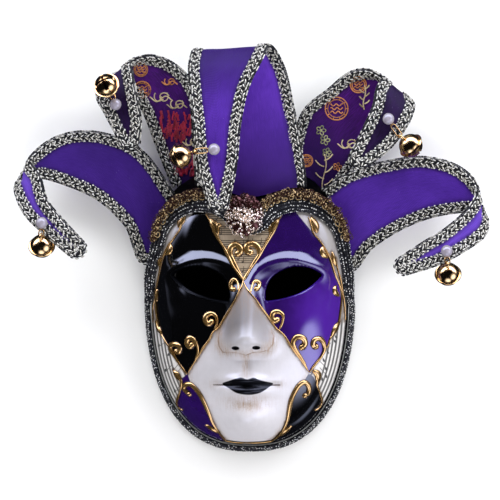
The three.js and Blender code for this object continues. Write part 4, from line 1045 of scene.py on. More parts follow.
def makeLace():
    rng = np.random.default_rng(23)
    places, line = evenly(smoothCurve(laceLine())(np.linspace(0, 1, 1200)), 0.8)
    end = places[-1]
    up = upward(len(line))
    ahead = alongOf(line)
    out = unit(np.cross(ahead, up))
    if out[len(out) // 2, 1] < 0:
        out = -out
    turn = np.linspace(0, 2 * np.pi, 11)[:-1]
    ring = np.column_stack([np.cos(turn), np.sin(turn), 0.25 * np.sin(2 * turn)])
    parts = []
    for offset, pitch, radius, wireHalf, jitter, tone, stretch, wave in lace["loops"]:
        s = np.arange(pitch, end - pitch / 2, pitch)
        count = len(s)
        s = np.clip(s + rng.normal(0, jitter, count), 0, end)
        outward = unit(pickAt(places, out, s))
        scallop = wave * np.abs(np.sin(s / 11.5 * np.pi))
        spot = pickAt(places, line, s) + outward * (offset + scallop + rng.normal(0, jitter, count))[:, None]
        spot[:, 2] += rng.normal(0.2, 0.5 * min(1, jitter * 3), count)
        tip = rng.normal(0, 0.45, (count, 3))
        z = unit(upward(count) + tip * (1 if jitter > 0.2 else 0.35))
        y = unit(outward - z * np.sum(outward * z, axis=1)[:, None])
        size = radius * rng.uniform(0.8, 1.2, count)[:, None]
        loop = sweep(ring * (1, stretch, 1), upward(len(ring)), wireHalf / radius, wireHalf / radius, 4, True)
        tones = tone + rng.normal(0, 0.2, count)
        parts.append(strew(loop, spot, np.cross(y, z) * size, y * size, z * size, 0, tones))
    # tufts: bunches of small curls, raised in the middle
    curl, count = sweep(ring, upward(len(ring)), 0.36, 0.36, 4, True), lace["curls"]
    for centre in np.arange(lace["tuft"] / 2, end, lace["tuft"]):
        away = rng.normal(0, 1.0, (count, 2)) * (1.05, 1.1)
        s = np.clip(centre + away[:, 0], 0, end)
        shrink = smoothStep(min(centre, end - centre), -8, 32)  # the frill narrows to its ends
        middle = (rng.uniform(-1.7, 2.4) + 0.4) * shrink
        spot = pickAt(places, line, s) + unit(pickAt(places, out, s)) * (middle + away[:, 1])[:, None]
        spot[:, 2] += 1.7 - 0.35 * np.hypot(away[:, 0], away[:, 1]) + rng.normal(0, 0.35, count)
        axes = tumbled(rng, count, 0.9, 0.8, (0.7, 1.1))
        parts.append(strew(curl, spot, *axes, 0, rng.choice([-0.7, -0.4, 0.1], count)))
    # grains of thread all over, and the band that the frill is sewn to
    count = int(end * lace["grains"])
    s, away = rng.uniform(0, end, count), rng.uniform(-1, 1, count)
    reach = 2.0 + 2.2 * smoothStep(np.minimum(s, end - s), 0, 36)
    reach = reach * (0.82 + 0.22 * np.abs(np.sin(s / lace["tuft"] / 2 * np.pi)))
    spot = pickAt(places, line, s) + unit(pickAt(places, out, s)) * (away * reach)[:, None]
    spot[:, 2] += 0.4 + 2.0 * (1 - away**2) + rng.normal(0, 0.4, count)
    axes = tumbled(rng, count, 0.7, 0.9, (0.75, 1.25))
    tones = rng.choice([-0.8, -0.3, 0.2, 1.3], count, p=[0.36, 0.27, 0.18, 0.19])
    parts.append(strew(grainPart(*lace["grain"]), spot, *axes, 0, tones))
    parts.append((*sweep(line + out * -0.4 - up * 0.6, up, 3.0, 0.35, 6, False, places), 1, 0.1))
    return newPiece("gold_lace_frill", parts, [laceThread, blackThread])


lacePiece = settle(makeLace(), "gold_lace", "gold_lace")
print("lace made", len(lacePiece.data.polygons))

# Brooch in the dip of the trim: petals of wire, seed beads and cut stones on a scalloped dome
brooch = {"x": -2.5, "y": 86.0, "z": 60.2, "radius": 14.5, "dome": 5.6, "long": 1.18, "plate": 0.8,
          "stones": 190,
          "rings": [  # petals, radius, petal's length and width, lift, tone
              (12, 9.2, 7.0, 5.2, 1.6, 0.55), (11, 5.4, 5.6, 4.2, 3.6, 0.7), (8, 1.8, 5.0, 3.8, 5.0, 0.8)]}


def dropWire(length, wide, half):  # one teardrop loop, pointing out along y
    turn = np.linspace(0, 2 * np.pi, 19)[:-1]
    x = wide / 2 * np.sin(turn) * (1 - 0.45 * np.cos(turn))
    y = length * (1 - np.cos(turn)) / 2
    z = 0.6 * np.sin(np.pi * y / length)
    return sweep(np.column_stack([x, y, z]), upward(len(turn)), half, half, 6, True)


def makeBrooch():
    rng = np.random.default_rng(5)
    middle = np.array([brooch["x"], brooch["y"], brooch["z"]])
    plate, flat = newGrid("brow_brooch_plate", 108, 16)
    turn, share = flat[:, 0] * 2 * np.pi, flat[:, 1]
    radius = share * (brooch["radius"] - 0.6 + 1.3 * np.cos(9 * turn) * share**3)
    height = (0.4 + brooch["dome"] * (1 - share**2.2) ** 0.8 * 0.75
              + 0.35 * np.cos(18 * turn) * share * (1 - share))
    points = np.column_stack([radius * np.cos(turn), radius * np.sin(turn) * brooch["long"], height])
    setPoints(plate, points + middle)
    setValues(plate, "tone", np.full(len(points), 0.12))
    makeActive(plate)
    inEditMode(weld, faceOut)
    dress(plate, [roseFinish])
    giveWall(plate, brooch["plate"], -1)
    bpy.ops.object.shade_smooth()

    parts = []
    bead = beadPart(0.95)
    for count, ringRadius, length, wide, lift, tone in brooch["rings"]:
        turn = (np.arange(count) + 0.5 * (count % 2)) / count * 2 * np.pi
        out = np.column_stack([np.cos(turn), np.sin(turn), 0 * turn])
        y = unit(out + np.array([0, 0, -0.35 - 0.02 * ringRadius]))
        x = np.column_stack([np.sin(turn), -np.cos(turn), 0 * turn])
        z = np.cross(x, y)
        spot = middle + out * (ringRadius * np.array([1, brooch["long"], 1])) + np.array([0, 0, lift])
        stretch = 1 + 0.25 * np.clip(-np.sin(turn), 0, 1)[:, None]
        # petals on the crown side are darker
        level = tone - 0.55 * np.clip(np.sin(turn), 0, 1) + rng.normal(0, 0.08, count)
        parts += [
            strew(dropWire(length, wide, 0.5), spot, x, y * stretch, z, 0, level),
            strew(dropWire(length * 0.6, wide * 0.5, 0.36), spot + y * 0.9, x, y * stretch, z, 0, level),
            strew(bead, spot + y * length * 0.62 * stretch + z * 0.5, x, y, z, 0, level + 0.2),
            strew(bead, spot + y * length * stretch + z * 0.2, x * 0.9, y * 0.9, z * 0.9, 0, level + 0.1)]
    count = brooch["stones"]  # cut stones strewn between the petals
    turn, away = rng.uniform(0, 2 * np.pi, count), brooch["radius"] * 1.02 * np.sqrt(rng.uniform(0, 1, count))
    lift = 1.2 + brooch["dome"] * (1 - np.clip(away / (brooch["radius"] * 1.03), 0, 1) ** 2.2) ** 0.8
    spot = middle + np.column_stack([away * np.cos(turn), away * np.sin(turn) * 1.2, lift])
    axes = tumbled(rng, count, 0.5, 1.0, (0.7, 1.25))
    # stones on the crown side are darker
    level = np.where(np.sin(turn) * away > 4.5, 0.16, 0.9) + rng.normal(0, 0.12, count)
    parts.append(strew(beadPart(0.9), spot, *axes, 0, level))
    return plate, newPiece("brow_brooch_filigree", parts, [roseFinish], smooth=False)


broochPlate, broochFiligree = makeBrooch()
settle(broochPlate, "brass", "brow_brooch")
settle(broochFiligree, "brass")
print("brooch made", len(broochFiligree.data.polygons))

# Horns: tapering strips curled over to the front. Rows: edge a, edge b, bow out of the line between them
horns = {
    "left_side": {
        "cloth": "satin", "pearl": (0.86, 0.7, 2.35), "bell": (11.3, (-0.1, -1, 0), (-0.03, -0.62, -0.78)),
        "rows": [
            (-52, 90, 17, -74, 54, 10, 0), (-62, 104, 20, -89, 46, 12, 0), (-90, 141, 25, -103, 77, 20, -2),
            (-125, 155, 27, -124, 98, 24, -1), (-154, 153, 29, -151, 111, 27, 0),
            (-173, 142, 32, -176, 117, 31, 0), (-179, 131, 41, -191, 109, 41, 0),
            (-170, 119, 52, -189, 99, 51, 0), (-163, 98, 57, -181, 85, 56, 0), (-149, 81, 59, -164, 69, 59, 0),
            (-133, 64, 60, -145, 53, 60, 0)]},
    "left_back": {
        "cloth": "brocade", "pearl": (0.79, 0.6, 2.4), "bell": (11.6, (-0.4, 0.9, 0), (-0.22, 0.42, 0.88)),
        "rows": [
            (-21, 92, 15, -53, 84, 11, 0), (-27, 127, 16, -66, 115, 12, 0), (-36, 164, 17, -78, 145, 13, 0),
            (-47, 197, 20, -87, 169, 16, 0), (-64, 213, 25, -97, 187, 21, 0), (-81, 218, 31, -112, 197, 29, 0),
            (-95, 213, 39, -123, 191, 38, 0), (-94, 200, 46, -124, 182, 45, 0),
            (-90, 180, 50, -117, 169, 49, 0), (-87, 162, 52, -110, 156, 51, 0),
            (-88, 149, 52, -104, 144, 52, 0)]},
    "centre": {
        "cloth": "satin", "pearl": (0.86, 0.56, 2.3), "bell": (16.8, (-1, -0.1, 0), (-0.9, -0.28, -0.36)),
        "rows": [
            (42, 84, 30, -40, 84, 30, -15), (47, 109, 31, -43, 109, 31, -15), (44, 138, 34, -45, 139, 34, -10),
            (37, 176, 37, -47, 176, 37, -6), (29, 209, 42, -48, 207, 42, -3), (19, 224, 54, -45, 220, 54, -1),
            (12, 211, 67, -47, 206, 67, 0), (1, 187, 73, -45, 183, 73, 0), (-5, 158, 76, -42, 156, 76, 0),
            (-8, 126, 77, -39, 125, 77, 0), (-14, 96, 77, -31, 95, 77, 0)]},
    "right_back": {
        "cloth": "brocade", "pearl": (0.81, 0.5, 2.35), "bell": (18.1, (0.6, -0.8, 0), (0.64, -0.54, -0.52)),
        "rows": [
            (28, 92, 15, 58, 84, 11, 0), (35, 139, 16, 78, 113, 12, 0), (45, 173, 18, 94, 135, 14, 0),
            (65, 190, 21, 110, 156, 18, 0), (83, 204, 25, 124, 171, 24, 0), (96, 206, 30, 132, 180, 31, 0),
            (109, 199, 38, 136, 176, 39, 0), (105, 189, 46, 134, 167, 46, 0), (102, 175, 50, 127, 154, 50, 0),
            (94, 156, 53, 114, 138, 52, 0), (85, 138, 54, 97, 125, 53, 0)]},
    "right_side": {
        "cloth": "satin", "pearl": (0.87, 0.68, 1.7), "bell": (11.3, (0.1, -1, 0), (0.05, -0.62, -0.78)),
        "rows": [
            (47, 90, 17, 70, 52, 9, 0), (59, 106, 20, 85, 40, 11, 0), (83, 122, 25, 102, 59, 19, 2),
            (116, 131, 27, 123, 73, 24, 1), (145, 134, 29, 146, 83, 27, 0), (171, 127, 32, 170, 88, 30, 0),
            (184, 116, 37, 187, 88, 35, 0), (186, 106, 44, 195, 79, 43, 0), (180, 93, 52, 193, 69, 51, 0),
            (162, 76, 57, 177, 57, 56, 0), (143, 64, 59, 156, 46, 59, 0), (123, 51, 60, 131, 38, 60, 0)]},
}
clothSetup = {"thick": 1.5, "across": 30, "along": 180, "wrinkle": 0.35}
hornBraid = {"width": 9.0, "high": 4.0, "pitch": 2.3, "step": 0.6, "shades": (0.85, -0.05, 0.65, -0.75),
             "knot": (1.7, 1.25, 1.3, 6), "rail": (3.3, 1.05, 1.2, 6), "long": (3.0, 1.05, 1.2, 6),
             "rows": [  # off the middle, slant, start, stitch
                 (-3.6, 0, 0, "knot"), (-1.75, 40, 0.3, "rail"), (0.55, -40, 0.8, "rail"),
                 (2.9, 12, 0.5, "long")],
             "net": (2.3, 0.62, 1.0), "netRows": (-2.7, 1.8)}


class HornSurface:  # place along from foot to tip, place across from edge a to edge b
    def __init__(self, rows):
        rows = np.array(rows, float)
        self.edgeA, self.edgeB = smoothCurve(rows[:, :3]), smoothCurve(rows[:, 3:6])
        self.bow = smoothCurve(np.column_stack([np.arange(len(rows)), rows[:, 6], 0 * rows[:, 6]]))

    def frameAt(self, along):
        middle = lambda t: (self.edgeA(t) + self.edgeB(t)) / 2
        ahead = middle(np.minimum(along + 0.004, 1)) - middle(np.maximum(along - 0.004, 0))
        across = self.edgeB(along) - self.edgeA(along)
        width = np.linalg.norm(across, axis=1)
        across = unit(across)
        tangent = lambda edge: unit(edge(np.minimum(along + 0.0005, 1)) - edge(np.maximum(along - 0.0005, 0)))
        slant = lambda edge: 1 / np.maximum(np.linalg.norm(np.cross(tangent(edge), across), axis=1), 0.2)
        return across, width, [slant(self.edgeA), slant(self.edgeB)], unit(np.cross(across, ahead)), unit(ahead)

    def pointAt(self, along, share):
        normal = self.frameAt(along)[3]
        rise = self.bow(along)[:, 1] * 4 * share * (1 - share)
        a, b = self.edgeA(along), self.edgeB(along)
        return a + (b - a) * share[:, None] + normal * rise[:, None]


def clearOfFace(points, room):  # true where a point stands outside the face
    seats, _ = faceSeat(points[:, 0], points[:, 1])
    return (faceShare(points[:, 0], points[:, 1]) > 0.995) | (points[:, 2] > seats[:, 2] + room)


def startAlong(surface, share, room=0.6):  # where a line up the horn comes out of the face
    along = np.linspace(0, 0.4, 400)
    hidden = ~clearOfFace(surface.pointAt(along, np.full(400, float(share))), room)
    return along[np.flatnonzero(hidden)[-1]] if hidden.any() else 0.0


def wrinkles(u, v, seed):
    rng = np.random.default_rng(seed)
    total = np.zeros(u.shape)
    for _ in range(9):
        way = rng.uniform(0, 2 * np.pi)
        length = rng.uniform(11, 40)
        total += np.sin((u * math.cos(way) + v * math.sin(way)) / length * 2 * np.pi + rng.uniform(0, 6.28)) / 9
    return total


def makeCloth(name, setup, surface, materials):
    across, along = clothSetup["across"], clothSetup["along"]
    cloth, flat = newGrid(f"{setup['cloth']}_{name}", across, along)
    feet = np.linspace(0, 1, 21)
    begin = np.interp(flat[:, 0], feet, [startAlong(surface, share) for share in feet])
    t = begin + (0.992 - begin) * flat[:, 1]
    _, width, slants, normal, _ = surface.frameAt(t)
    tuck = 0.8 * hornBraid["width"]
    first = np.minimum(tuck * slants[0] / width, 0.46)
    last = 1 - np.minimum(tuck * slants[1] / width, 0.46)
    points = surface.pointAt(t, first + (last - first) * flat[:, 0])
    grid = points.reshape(along + 1, across + 1, 3)
    steps = np.linalg.norm(np.diff(grid, axis=0), axis=2)
    runV = np.concatenate([np.zeros((1, across + 1)), np.cumsum(steps, axis=0)]).ravel()
    wide = (last - first) * width
    runU = (flat[:, 0] - 0.5) * wide
    edge = np.minimum(flat[:, 0], 1 - flat[:, 0]) * wide
    ripple = 0.18 * np.sin(runV / 3.1 + 2 * np.sin(runV / 17)) * np.exp(-edge / 5)
    lift = clothSetup["wrinkle"] * wrinkles(runU, runV, len(name)) * smoothStep(edge, 0, 6) + ripple
    setPoints(cloth, points + normal * lift[:, None])
    loops = np.zeros(len(cloth.data.loops), np.int32)
    cloth.data.loops.foreach_get("vertex_index", loops)
    layer = cloth.data.uv_layers[0]
    layer.name = "lay"
    layer.data.foreach_set("uv", np.column_stack([runU, runV])[loops].astype(np.float32).ravel())
    setValues(cloth, "edgeOff", edge)
    dress(cloth, materials)
    makeActive(cloth)
    front = np.array([quad.normal for quad in cloth.data.polygons[: across * along // 4]]).mean(axis=0)[2]
    if front < 0:  # the first material goes to the side that looks forward at the foot
        inEditMode(bpy.ops.mesh.flip_normals)
    giveWall(cloth, clothSetup["thick"], 0, 1)
    bpy.ops.object.shade_smooth_by_angle(angle=math.radians(60))
    area = 0.5 * np.linalg.norm(np.cross(grid[1:, 1:] - grid[:-1, :-1], grid[1:, :-1] - grid[:-1, 1:]),
                                axis=2).sum()
    # cut: widest place, longest line up the strip
    return cloth, area / 1e6, (wide.max() / 1000, runV.max() / 1000)


def braidGuide(surface):  # up edge a, round the tip, down edge b
    half = hornBraid["width"] / 2
    run, end = np.linspace(0, 1, 500), np.array([1.0])
    _, width, slants, normals, _ = surface.frameAt(run)
    lines = [surface.pointAt(run, half * slants[0] / width), surface.pointAt(run, 1 - half * slants[1] / width)]
    across, width, _, normal, ahead = (value[-1] for value in surface.frameAt(end))
    turn = np.radians(np.linspace(-80, 80, 17))[:, None]
    radius = width / 2 - half
    tip = (surface.pointAt(end, np.array([0.5]))[0]
           + across * radius * np.sin(turn) + ahead * radius * np.cos(turn))
    hidden = [np.flatnonzero(~clearOfFace(points, 0.4)) for points in lines]
    firstA, firstB = (rows[-1] + 1 if len(rows) else 0 for rows in hidden)
    return (np.vstack([lines[0][firstA:], tip, lines[1][firstB:][::-1]]),
            np.vstack([normals[firstA:], np.tile(normal, (len(turn), 1)), normals[firstB:][::-1]]))


def makeHornBraid(name, surface):
    rng = np.random.default_rng(31 + len(name))
    points, normals = braidGuide(surface)
    places, line, ups = evenly(points, hornBraid["step"], normals)
    ups = unit(ups)
    soften = np.ones(9) / 9
    ahead = [np.convolve(np.pad(column, 4, mode="edge"), soften, "valid") for column in alongOf(line).T]
    ahead = unit(np.column_stack(ahead))
    sides = unit(np.cross(ups, ahead))
    pitch, high, edge = hornBraid["pitch"], hornBraid["high"] / 2, hornBraid["width"] / 2
    parts = [(*sweep(line[::3], ups[::3], edge * 0.98, high * 0.62, 8, False, places[::3]), 0, 0.1)]
    axesAt = lambda s: [unit(pickAt(places, rows, s)) for rows in (ups, sides, ahead)]
    spots = np.arange(0.8, places[-1] - 0.8, pitch)
    count = len(spots)
    stitches = {kind: grainPart(*hornBraid[kind]) for kind in ("knot", "rail", "long", "net")}
    for side in (1, -1):  # both faces of the braid
        for row, (away, slant, shift, kind) in enumerate(hornBraid["rows"]):
            s = spots + shift * pitch + rng.normal(0, 0.1, count)
            out, cross, forth = axesAt(s)
            out = out * side
            spread = away + rng.normal(0, 0.2, count)
            spot = pickAt(places, line, s) + cross * spread[:, None] + out * (high * 0.76 - 0.06 * abs(away))
            axes = slanted(forth, unit(out + cross * (away * 0.12)), slant + rng.normal(0, 7, count))
            shades = np.resize(np.roll(hornBraid["shades"], row), count) + rng.normal(0, 0.12, count)
            parts.append(strew(stitches[kind], spot, *axes, 1, shades))
        for away in hornBraid["netRows"]:  # a thin net of threads over the stitches
            s = spots + rng.uniform(0, pitch, count)
            out, cross, forth = axesAt(s)
            out = out * side
            spread = away + rng.normal(0, 0.4, count)
            spot = pickAt(places, line, s) + cross * spread[:, None] + out * (high * 0.8)
            axes = slanted(forth, out, rng.choice([-70, -50, 50, 70], count) + rng.normal(0, 10, count))
            parts.append(strew(stitches["net"], spot, *axes, 1, rng.choice([-0.8, -0.1, 0.7], count)))
    for side in (1, -1):  # a dark row along each edge
        _, cross, forth = axesAt(spots + 0.3 * pitch)
        cross = cross * side
        spot = pickAt(places, line, spots + 0.3 * pitch) + cross * (edge - 0.05)
        tones = rng.choice([-0.7, -0.3, 0.2], count)
        parts.append(strew(stitches["rail"], spot, unit(np.cross(forth, cross)), forth, cross, 1, tones))
    return newPiece(f"silver_braid_{name}", parts, [blackThread, silverThread])


# shade run: painted shade, darker from here to there up the strip, by this share
def satinFinish(name, dark, light, sheen, shadeRun=(0.0, 1.0, 0.0)):
    material, tree, shader = newFinish(name, Sheen_Weight=0.06, Sheen_Roughness=0.4, Sheen_Tint=sheen,
                                       Specular_IOR_Level=0.18)
    layPlace = uvPlace(tree)
    cloth = useGroup(tree, weaveGroup, {"Lay": layPlace, "Pitch": 0.62})
    broad = noise(tree, layPlace, 0.035, 3.0)
    tone = plus(tree, times(tree, cloth["Slub"], 0.5), times(tree, broad, 0.5))
    threads = plus(tree, tone, times(tree, cloth["Height"], 0.14))
    colour = blend(tree, between(tree, threads, 0.25, 0.75), dark, light)
    lint = between(tree, noise(tree, layPlace, 0.55, 1.0), 0.74, 0.8)
    colour = blend(tree, times(tree, lint, 0.3), colour, (0.3, 0.24, 0.5, 1))
    # painted shade along the cloth's edges, beside the braid
    shade = between(tree, attribute(tree, "edgeOff"), 0.0, 5.5, 0.6, 0.0)
    colour = blend(tree, shade, colour, (0.004, 0.002, 0.012, 1))
    start, end, share = shadeRun
    runShade = between(tree, axesOf(tree, layPlace)["Y"], start, end, share, 0.0)
    colour = blend(tree, runShade, colour, (0.012, 0.003, 0.046, 1))
    wire(tree, shader, Base_Color=colour, Roughness=between(tree, cloth["Slub"], 0.3, 0.7, 0.42, 0.6))
    bump(tree, shader, cloth["Height"], 0.35, 0.00025)
    return material


blueSheen, paleSheen, redSheen = (0.5, 0.4, 1.0, 1), (0.6, 0.5, 1.0, 1), (0.6, 0.3, 1.0, 1)
# lighter and darker copies of one purple satin and one brocade: painted light and shade on the horns' faces,
# each set for how light falls on it
satinFront = satinFinish("purpleSatin", (0.027, 0.0072, 0.127, 1), (0.051, 0.0147, 0.215, 1), blueSheen)
satinBackLit = satinFinish("purpleSatinReverseLit", (0.085, 0.034, 0.34, 1), (0.15, 0.066, 0.52, 1), paleSheen)
brocadeFront = satinFinish("purpleBrocade", (0.009, 0.0015, 0.02, 1), (0.088, 0.008, 0.22, 1), redSheen,
                           (10.0, 85.0, 0.85))
brocadeTongueShaded = satinFinish("purpleBrocadeTongueShaded", (0.0022, 0.0005, 0.005, 1), (0.017, 0.0024, 0.043, 1),
                            redSheen)
satinInside = satinFinish("purpleSatinInsideLit", (0.078, 0.021, 0.34, 1), (0.15, 0.045, 0.57, 1), paleSheen,
                          (0.0, 125.0, 0.86))
satinTongue = satinFinish("purpleSatinTongue", (0.043, 0.0108, 0.195, 1), (0.08, 0.0225, 0.33, 1), blueSheen,
                          (128.0, 186.0, 0.8))
satinRightLit = satinFinish("purpleSatinRightLit", (0.046, 0.012, 0.21, 1), (0.086, 0.025, 0.36, 1), blueSheen)
hornCloth = {  # front and back of each horn
    "left_side": [satinFront, satinBackLit], "right_side": [satinRightLit, satinBackLit],
    "centre": [satinInside, satinTongue], "left_back": [brocadeFront, brocadeTongueShaded],
    "right_back": [brocadeFront, brocadeTongueShaded]}
surfaces = {name: HornSurface(setup["rows"]) for name, setup in horns.items()}
hornPieces = {}
for name, setup in horns.items():
    cloth, area, cut = makeCloth(name, setup, surfaces[name], hornCloth[name])
    settle(cloth, setup["cloth"], f"horn_{name}")
    braid = settle(makeHornBraid(name, surfaces[name]), "silver_braid", f"braid_{name}")
    hornPieces[name] = {"cloth": cloth, "area": area, "cut": cut, "braid": braid}
    print("horn made", name, len(cloth.data.polygons), len(braid.data.polygons), round(area, 5),
          np.round(cut, 4))

# Embroidery on the brocade: motifs of thread, in millimetres seen from the front
embroidery = {"lift": 0.95, "motifs": {
    "left_back": [
        ("medal", -88.5, 190.5, 6.8, "copper"), ("medal", -89.5, 207.0, 5.6, "copper"),
        ("scroll", -73.0, 183.0, 10.0, "gold"), ("scroll", -60.0, 177.0, 9.0, "gold"),
        ("flames", -61.0, 158.5, 26.0, "red"), ("scroll", -66.0, 196.0, 7.0, "copper"),
        ("flames", -53.0, 128.0, 20.0, "red"), ("scroll", -48.0, 146.0, 8.0, "gold")],
    "right_back": [
        ("medal", 72.5, 174.5, 9.4, "copper"), ("medal", 90.5, 194.0, 6.6, "copper"),
        ("leaf", 95.5, 183.5, 10.0, "gold"), ("flower", 59.5, 156.5, 4.2, "green"),
        ("flower", 62.8, 148.5, 4.2, "green"), ("flower", 64.3, 138.4, 3.8, "green"),
        ("scroll", 82.5, 144.0, 10.0, "gold"), ("leaf", 62.0, 120.0, 17.0, "gold"),
        ("medal", 47.5, 131.5, 5.0, "copper"), ("flower", 73.0, 126.5, 3.6, "copper"),
        ("scroll", 66.5, 187.0, 7.5, "gold")]}}
embroideryThreads = {
    "copper": threadFinish("copperThread", (0.7, 0.27, 0.08, 1), (0.12, 0.03, 0.01, 1), 1.2, 0.3, 0.4, 1.0,
                           0.4),
    "gold": threadFinish("paleGoldThread", (0.75, 0.6, 0.34, 1), (0.16, 0.1, 0.04, 1), 1.2, 0.4, 0.4, 1.0, 0.4),
    "red": threadFinish("redThread", (0.36, 0.008, 0.035, 1), (0.05, 0.003, 0.008, 1), 1.2, 0.0, 0.4, 1.0,
                        0.45),
    "green": threadFinish("greenGoldThread", (0.4, 0.4, 0.2, 1), (0.07, 0.08, 0.03, 1), 1.2, 0.3, 0.4, 1.0,
                          0.4)}


def turned(points, lean):
    return points @ np.array([[math.cos(lean), math.sin(lean)], [-math.sin(lean), math.cos(lean)]])


def motifLines(kind, size, rng):  # flat lines about the motif's middle, with a half width for the thread
    turn = np.linspace(0, 2 * np.pi, 40)
    circle = np.column_stack([np.cos(turn), np.sin(turn)])
    if kind == "medal":
        yield circle * size, 0.42
        yield circle * size * 0.78, 0.36
        x = np.linspace(-0.55, 0.55, 16)
        for k in range(3):  # little waves across the middle
            yield np.column_stack([x, 0.1 * np.sin(x * 12 + k) + (k - 1) * 0.32]) * size, 0.42
        for k in range(10):
            ray = np.array([[math.cos(k * 0.628), math.sin(k * 0.628)]])
            yield ray * np.linspace(0.8, 1.0, 4)[:, None] * size, 0.34
    elif kind == "flower":
        petal = np.column_stack([0.55 + 0.42 * np.cos(turn[::3]), 0.3 * np.sin(turn[::3])]) * size
        for k in range(5):
            yield turned(petal, k * 2 * np.pi / 5), 0.38
        yield circle[::4] * size * 0.16, 0.4
    elif kind == "scroll":
        t = np.linspace(0, 4.6, 36)
        for way, lean in ((1, 0.3), (-1, 0.9), (1, 2.3)):
            spiral = np.column_stack([np.cos(t), way * np.sin(t)]) * (0.5 - 0.085 * t)[:, None] * size
            yield turned(spiral + (spiral[0] - spiral[-1]) * 0.35, lean), 0.42
        x = np.linspace(-0.95, 0.95, 24)
        yield np.column_stack([x, 0.22 * np.sin(x * 4.2)]) * size, 0.46
    elif kind == "flames":
        t = np.linspace(0, 1, 9)
        for _ in range(70):  # satin stitches in tongues
            x, y = rng.uniform(-0.5, 0.5) * size, rng.uniform(-0.5, 0.34) * size
            yield np.column_stack([x + 0.5 * np.sin(t * 4 + x), y + t * rng.uniform(4, 8)]), 0.7
    else:  # a stem with leaves
        y = np.linspace(-1, 1, 24)
        yield np.column_stack([0.1 * np.sin(y * 3), y]) * size, 0.44
        t = np.linspace(0, np.pi, 10)
        for k in range(6):
            side = 1 if k % 2 else -1
            leaf = np.column_stack([side * 0.42 * np.sin(t / 2), -0.8 + k * 0.3 + 0.3 * (1 - np.cos(t)) / 2])
            yield leaf * size, 0.5


def makeEmbroidery(name, surface):
    rng = np.random.default_rng(71 + len(name))
    grid = np.meshgrid(np.linspace(0.06, 0.56, 260), np.linspace(0.1, 0.9, 90), indexing="ij")
    t, share = (values.ravel() for values in grid)
    seats, normals = surface.pointAt(t, share), surface.frameAt(t)[3]
    normals = np.where(normals[:, 2:] < 0, -normals, normals)
    clear = clearOfFace(seats, 1.0)
    seats, normals = seats[clear], normals[clear]
    order = list(embroideryThreads)
    parts = []
    for kind, x, y, size, colour in embroidery["motifs"][name]:
        for flat, half in motifLines(kind, size, rng):
            flat = flat + np.array([x, y])
            gaps = np.hypot(flat[:, :1] - seats[None, :, 0], flat[:, 1:] - seats[None, :, 1])
            near = gaps.argmin(axis=1)
            on = gaps.min(axis=1) < 0.9  # the part of a motif that runs under the braid is left out
            ends = np.flatnonzero(np.diff(np.concatenate([[0], on.astype(int), [0]])))
            for first, last in zip(ends[::2], ends[1::2]):
                if last - first < 3:
                    continue
                spot, up = seats[near[first:last]].copy(), normals[near[first:last]]
                step = flat[first:last] - spot[:, :2]
                spot[:, 2] -= (up[:, :2] * step).sum(axis=1) / np.maximum(up[:, 2], 0.3)
                spot[:, :2] = flat[first:last]
                thread = sweep(spot + up * embroidery["lift"], up, half * 1.45, half * 0.8, 4)
                parts.append((*thread, order.index(colour), rng.uniform(0.0, 0.7)))
    return newPiece(f"embroidery_{name}", parts, embroideryThreads.values())


for name in embroidery["motifs"]:
    stitched = hornPieces[name]["stitched"] = settle(makeEmbroidery(name, surfaces[name]), "brocade")
    print("embroidery made", name, len(stitched.data.polygons))

# Charms: a pearl on each curled end and a jingle bell hanging from it on a wire link
pearl = {"radius": 4.8}
bell = {"radius": 9.6, "wall": 0.8, "flange": 11.0, "flangeHigh": 1.6, "slot": 2.0, "slotReach": 0.74,
        "loop": 2.8, "loopWire": 0.7, "pellet": 2.6}
link = {"halfWidth": 2.0, "wire": 0.55, "drop": 3.1, "clear": 0.85}
bellLoopHigh = bell["radius"] + bell["loop"] - 0.4


def pearlFinish():
    material, tree, shader = newFinish("pearl", Roughness=0.12, Coat_Weight=1.0, Coat_Roughness=0.03,
                                       Coat_IOR=1.65)
    bands = noise(tree, scaled(tree, objectPlace(tree), (300, 300, 900)), 1.0, 3.0)
    wire(tree, shader, Base_Color=blend(tree, bands, (0.24, 0.215, 0.28, 1), (0.4, 0.37, 0.43, 1)))
    bump(tree, shader, bands, 0.05, 0.0003)
    return material


nacreFinish = pearlFinish()


def placed():  # the new part, with its place in its mesh
    bpy.ops.object.transform_apply(location=True, rotation=True, scale=True)
    return bpy.context.object


def slotCutters():  # crossed slots with round ends
    radius, slot = bell["radius"] / 1000, bell["slot"] / 1000
    reach = radius * bell["slotReach"]
    for quarter in (0, 1):
        bpy.ops.mesh.primitive_cube_add(size=1, location=(0, 0, -radius),
                                        rotation=(0, 0, quarter * math.pi / 2))
        bpy.context.object.scale = (radius * 1.5, slot, radius)
        yield placed()
        for end in (reach, -reach):
            place = (0, end, -radius) if quarter else (end, 0, -radius)
            bpy.ops.mesh.primitive_cylinder_add(vertices=20, radius=slot * 0.8, depth=radius, location=place)
            yield placed()


